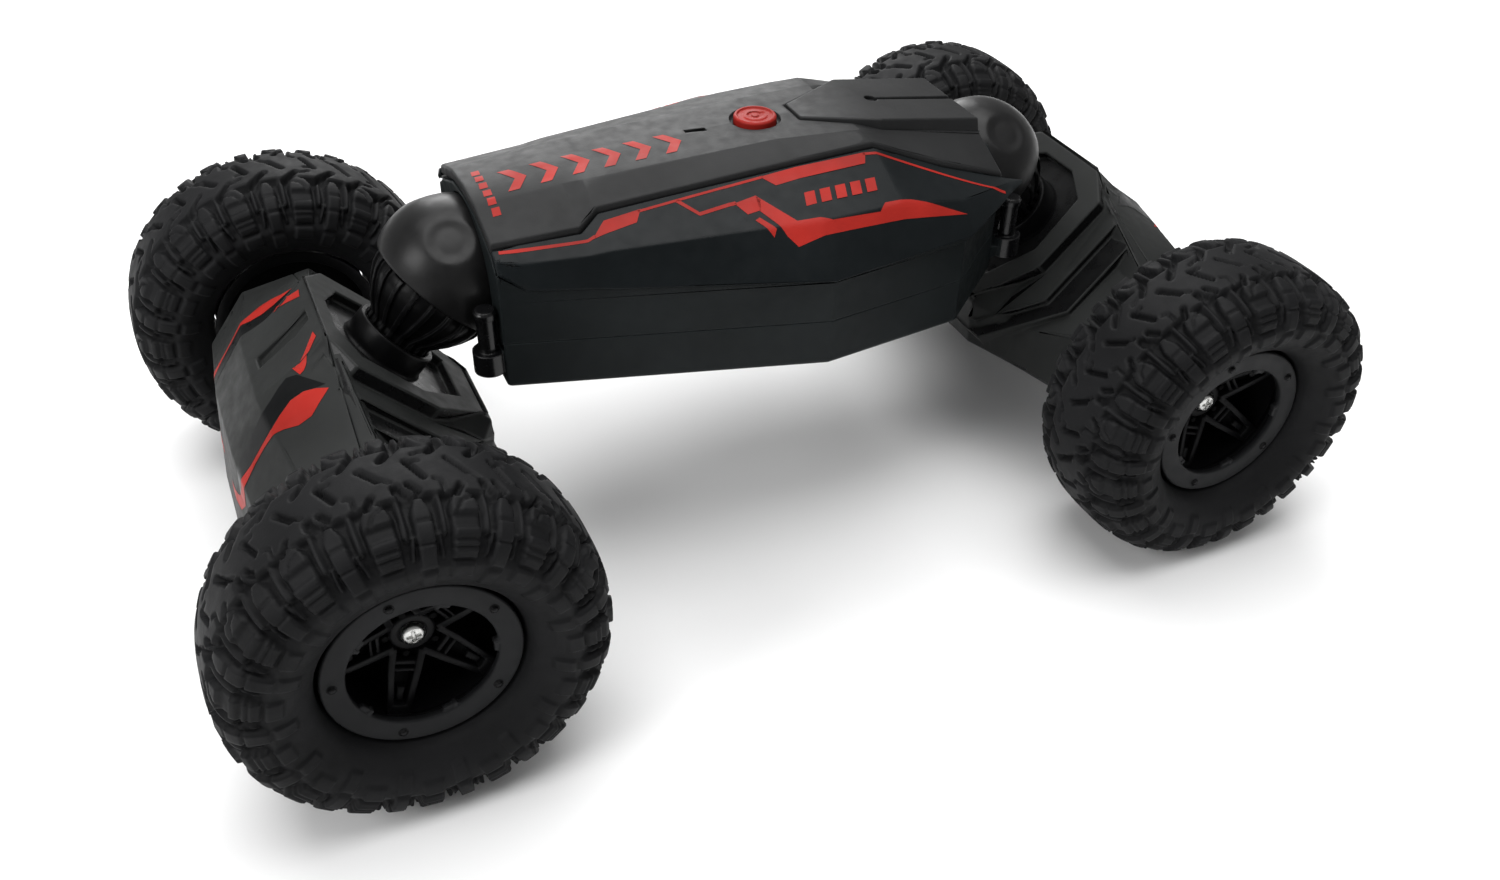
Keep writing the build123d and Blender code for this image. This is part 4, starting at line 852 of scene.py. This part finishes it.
def mirrored(outlines):
    """The same outlines on the other side, y changed in sign."""
    return [[(x, -y) for x, y in reversed(outline)] for outline in outlines]


def stroke(points, width):
    """Outline of a line of even width through points, with mitred joints."""
    left, right = [], []
    for i, (x, y) in enumerate(points):
        before = points[max(i - 1, 0)]
        after = points[min(i + 1, len(points) - 1)]
        dx, dy = after[0] - before[0], after[1] - before[1]
        size = hypot(dx, dy)
        left.append((x - dy / size * width / 2, y + dx / size * width / 2))
        right.append((x + dy / size * width / 2, y - dx / size * width / 2))
    return left + right[::-1]


def side_graphics():
    """Angular stripes of one side panel, in x and distance from the car's middle plane."""
    shapes = [
        stroke([(-64.5, 21.9), (-45.2, 24.6), (-43.4, 24.2)], 0.7),
        [(-44.2, 24.7), (-40.4, 21.5), (-31.6, 21.2), (-33.6, 24.0)],
        stroke([(-33.0, 21.6), (-23.0, 21.6), (-2.0, 21.7)], 0.6),
        [(-2.6, 21.5), (24.4, 21.6), (23.0, 24.4), (0.0, 24.6)],
        stroke([(23.6, 21.9), (27.0, 22.4), (44.0, 28.2), (58.0, 32.6)], 0.7),
        stroke([(-23.2, 21.6), (-19.5, 26.2), (-10.6, 26.0)], 0.9),
        [(-11.0, 26.0), (-5.6, 25.6), (-4.9, 26.8), (-6.0, 29.4), (-9.2, 29.5)],
        [(-5.6, 25.6), (0.8, 34.4), (-0.5, 38.2), (-2.4, 36.2), (-6.2, 29.6)],
        [(0.8, 34.4), (6.1, 35.1), (8.9, 36.2), (21.0, 36.5), (22.9, 35.0), (29.7, 35.2),
         (44.0, 38.0), (-0.5, 38.2)],
        [(-8.2, 31.4), (-7.0, 31.0), (-4.4, 34.6), (-5.4, 35.6)],
    ]
    for i in range(5):
        x = 4.4 + 3.9 * i
        shapes.append([(x + 0.9, 28.3), (x + 3.5, 28.3), (x + 2.6, 31.6), (x, 31.6)])
    return shapes


def spine_graphics():
    """Six chevrons along the middle cover and a row of dashes across its rear edge."""
    shapes = []
    row, reach = -3.3, 4.4
    for i in range(6):
        x = -57.5 + 7.5 * i
        for side in (1, -1):
            tip = row + side * reach
            arm = [(x, tip), (x + 2.7, tip), (x + 5.6, row), (x + 2.9, row)]
            shapes.append(arm if side > 0 else arm[::-1])
    for i in range(6):
        y = 4.6 - 3.2 * i
        shapes.append([(-62.6, y), (-60.8, y), (-61.0, y - 2.3), (-62.9, y - 2.3)])
    return shapes


# Red and black shapes of the nose, on its mirror half: distance from the middle plane, and
# height along the nose's slope.
NOSE_RED = [
    [(22.0, 23.2), (23.6, 20.0), (25.4, 17.2), (25.6, 14.2), (24.2, 11.4), (21.9, 9.6),
     (20.2, 12.2), (18.7, 15.6), (18.9, 18.8), (20.2, 21.2)],
    [(21.9, 9.6), (24.2, 11.4), (23.4, 8.4), (23.0, 5.0), (23.0, 0.6), (23.4, -3.4), (23.6, -7.0),
     (22.4, -10.6), (16.6, -15.6), (17.6, -11.4), (20.6, -7.2), (21.8, -1.0), (21.8, 4.6)],
    [(16.6, -15.6), (8.0, -16.6), (5.2, -15.4), (9.0, -14.6), (15.0, -12.8), (17.6, -11.4)],
    [(7.9, 28.0), (10.4, 28.4), (14.6, 21.6), (14.8, 20.4), (12.2, 19.9), (12.7, 21.4), (11.4, 23.6)],
]
NOSE_BLACK = [
    [(20.7, 23.2), (14.2, 19.8), (13.0, 17.6), (13.6, 15.3), (18.5, 15.8), (18.7, 18.7), (20.0, 21.2)],
    [(13.6, 15.3), (16.0, 10.0), (21.6, 9.4), (20.0, 12.2), (18.5, 15.8)],
    [(16.0, 10.0), (16.6, 3.2), (17.2, -3.2), (18.0, -11.0), (20.4, -7.0), (21.6, -1.0), (21.6, 4.6),
     (21.6, 9.4)],
]


def nose_plane(end):
    """Plane in front of the nose: X along the axle, Y up the slope, Z away from the nose."""
    centre = middle(f"output_axle_{end}_left")
    centre.y = 0
    outward = -1 if end == "rear" else 1
    level, rise = NOSE_LEAN
    away = Vector((outward * level, 0, rise))
    slope = Vector((-outward * rise, 0, level))
    along = slope.cross(away)
    turn = Matrix((along, slope, away)).transposed().to_4x4()
    return Matrix.Translation(centre + away * NOSE_DISTANCE * MM) @ turn


def flipped(outlines):
    """The same outlines mirrored in their first coordinate."""
    return [[(-x, y) for x, y in reversed(outline)] for outline in outlines]


def make_graphics(spine, panels, noses):
    """Every painted shape on the covers, the side panels and the noses."""
    top = Matrix.Translation((0, 0, DROP_HEIGHT * MM))
    painted("spine_graphics", spine_graphics(), tree_of(spine), top, "chassis", RED_PAINT)
    for hand, panel in panels.items():
        shapes = side_graphics()
        shapes = shapes if hand == "left" else mirrored(shapes)
        name = f"side_graphics_{hand}"
        painted(name, shapes, tree_of(panel), top, "chassis", RED_PAINT)
    for end, (nose, shell) in noses.items():
        surface = tree_of(nose, shell)
        plane = nose_plane(end)
        body = f"{end}_axle"
        half = NOSE_RED if end == "rear" else NOSE_RED[1:3]
        red = half + flipped(half)
        black = NOSE_BLACK + flipped(NOSE_BLACK)
        painted(f"nose_graphics_{end}", red, surface, plane, body, RED_PAINT, lift=0.09)
        painted(f"nose_bands_{end}", black, surface, plane, body, SWOOSH_BLACK)


# ---------------------------------------------------------------- body and housings

# Heights around the tub's fine seam, whose edges stay crisp.
SEAM_BAND = (73.5, 74.8)
# The tub's corner posts lie further from the car's middle than this.
POST_START_X = 66.1
# Levels on the twist axis: the turret's flat top, the depth that still counts as top, and a
# level below its lowest step. The sunk floor lies within this radius of the axis.
TURRET_TOP = -23.6
TURRET_SKIN = 0.2
TURRET_FOOT = -31.5
SUNK_FLOOR_RADIUS = 15.0
# A wall's normal has less than this share along the axis.
WALL_TILT = 0.3


def on_post(face):
    """Whether a face of the tub is on one of its corner posts."""
    return abs(face.calc_center_median().x) > POST_START_X * MM


def on_turret(end):
    """A test for a housing's faces that are a wall or the sunk floor of its turret, which get painted
    shade.
    """
    place = twist_frame(end)
    back = place.inverted()
    axis = place.to_3x3() @ Vector((0, 0, 1))

    def test(face):
        spot = back @ face.calc_center_median() / MM
        if not TURRET_FOOT < spot.z < TURRET_TOP - TURRET_SKIN:
            return False
        wall = abs(face.normal.dot(axis)) < WALL_TILT
        return wall or hypot(spot.x, spot.y) < SUNK_FLOOR_RADIUS
    return test


def make_body():
    """The body's mouldings, with rounded edges."""
    softened("chassis_tub", "chassis", 0.35, spared=SEAM_BAND, second=on_post,
             materials=[FINISHES["chassis_slate"], POST_BLACK])
    spine = softened("spine_cover", "chassis", 0.6)
    softened("hood_panel", "chassis", 0.45)
    panels = {
        "right": softened("side_panel_right", "chassis", 0.45),
        "left": softened("side_panel_left", "chassis", 0.45, shape=mirror_copy("side_panel_right")),
    }
    softened("power_button", "button", 0.15, shortest=0.3)
    return spine, panels


def make_housings():
    """The gearbox housings, collars and ribbed necks, with rounded edges."""
    noses = {}
    for end in ENDS:
        body = f"{end}_axle"
        # The turret's walls and sunk floor take the second finish, which is painted shade.
        shell = softened(f"gearbox_shell_{end}", body, 0.5, second=on_turret(end),
                         materials=[FINISHES["housing_black"], TURRET_SHADE_AND_GLINT])
        nose = softened(f"nose_cover_{end}", body, 0.5)
        # Collars and necks are painted darker than their mouldings as shade, with light edges that are
        # also painted highlight.
        softened(f"collar_ring_{end}", body, 0.25, materials=[NECK_SHADE_AND_GLINT])
        softened(f"neck_{end}", body, 0.15, materials=[NECK_SHADE_AND_GLINT])
        noses[end] = (nose, shell)
    return noses


# ---------------------------------------------------------------- floor, lights, camera


def make_floor():
    """Plain pale floor, its size in metres."""
    bm = bmesh.new()
    bmesh.ops.create_grid(bm, x_segments=8, y_segments=8, size=4.0)
    mesh = bpy.data.meshes.new("floor")
    bm.to_mesh(mesh)
    bm.free()
    floor = bpy.data.objects.new("floor", mesh)
    bpy.context.scene.collection.objects.link(floor)
    material = bpy.data.materials.new("floor_pale")
    material.use_nodes = True
    tree = material.node_tree
    shader = tree.nodes["Principled BSDF"]
    shader.inputs["Roughness"].default_value = 0.9
    shader.inputs["Specular IOR Level"].default_value = 0.1
    place = tree.nodes.new("ShaderNodeTexCoord")
    speckle = noise(tree, place, 60.0, 2.0)
    pale = mixed(tree, speckle, (0.90, 0.90, 0.90), (0.93, 0.93, 0.93))
    tree.links.new(pale, shader.inputs["Base Color"])
    floor.data.materials.append(material)


def area_light(name, place, target, size, watts):
    """A soft square light aimed at a point, in metres and watts."""
    light = bpy.data.lights.new(name, "AREA")
    light.shape = "SQUARE"
    light.size = size
    light.energy = watts
    obj = bpy.data.objects.new(name, light)
    bpy.context.scene.collection.objects.link(obj)
    obj.location = place
    obj.rotation_euler = (Vector(target) - Vector(place)).to_track_quat("-Z", "Y").to_euler()


def make_lights():
    """Large soft light from above, weaker ones from the sides, and a pale surround."""
    world = bpy.data.worlds.new("studio")
    bpy.context.scene.world = world
    world.use_nodes = True
    backdrop = world.node_tree.nodes["Background"]
    backdrop.inputs["Color"].default_value = (1.0, 1.0, 1.0, 1.0)
    backdrop.inputs["Strength"].default_value = 0.32
    area_light("overhead", (0.0, 0.05, 1.1), (0, 0, 0), 1.1, 15)
    area_light("left_box", (-0.9, -0.2, 0.6), (-0.05, 0, 0.06), 0.5, 5)
    area_light("back_box", (0.2, 0.9, 0.5), (0, 0, 0.08), 0.6, 5)


# The camera's place in metres, its turns in radians (heading from +Y towards +X, dip below the
# horizon, roll about its line of sight), and its lens on a full-width sensor in millimetres.
CAMERA_PLACE = (-0.1255, -0.2757, 0.2456)
CAMERA_TURNS = (0.448, 0.661, 0.027)
CAMERA_LENS = 32.83
CAMERA_SENSOR = 36.0


def make_camera():
    """Camera above the car's rear right corner."""
    heading, dip, roll = CAMERA_TURNS
    forward = Vector((sin(heading) * cos(dip), cos(heading) * cos(dip), -sin(dip)))
    level = Vector((cos(heading), -sin(heading), 0))
    upright = level.cross(forward)
    right = cos(roll) * level + sin(roll) * upright
    up = -sin(roll) * level + cos(roll) * upright
    camera = bpy.data.cameras.new("camera")
    camera.lens = CAMERA_LENS
    camera.sensor_width = CAMERA_SENSOR
    obj = bpy.data.objects.new("camera", camera)
    bpy.context.scene.collection.objects.link(obj)
    turn = Matrix((right, up, -forward)).transposed().to_4x4()
    obj.matrix_world = Matrix.Translation(CAMERA_PLACE) @ turn
    bpy.context.scene.camera = obj
    bpy.context.scene.view_settings.view_transform = "Standard"


make_camera()
make_floor()
make_lights()
for name, node in NODES.items():
    paint(node, FINISHES[slot_of(name)])
make_wheels()
make_domes()
spine, panels = make_body()
noses = make_housings()
make_graphics(spine, panels, noses)
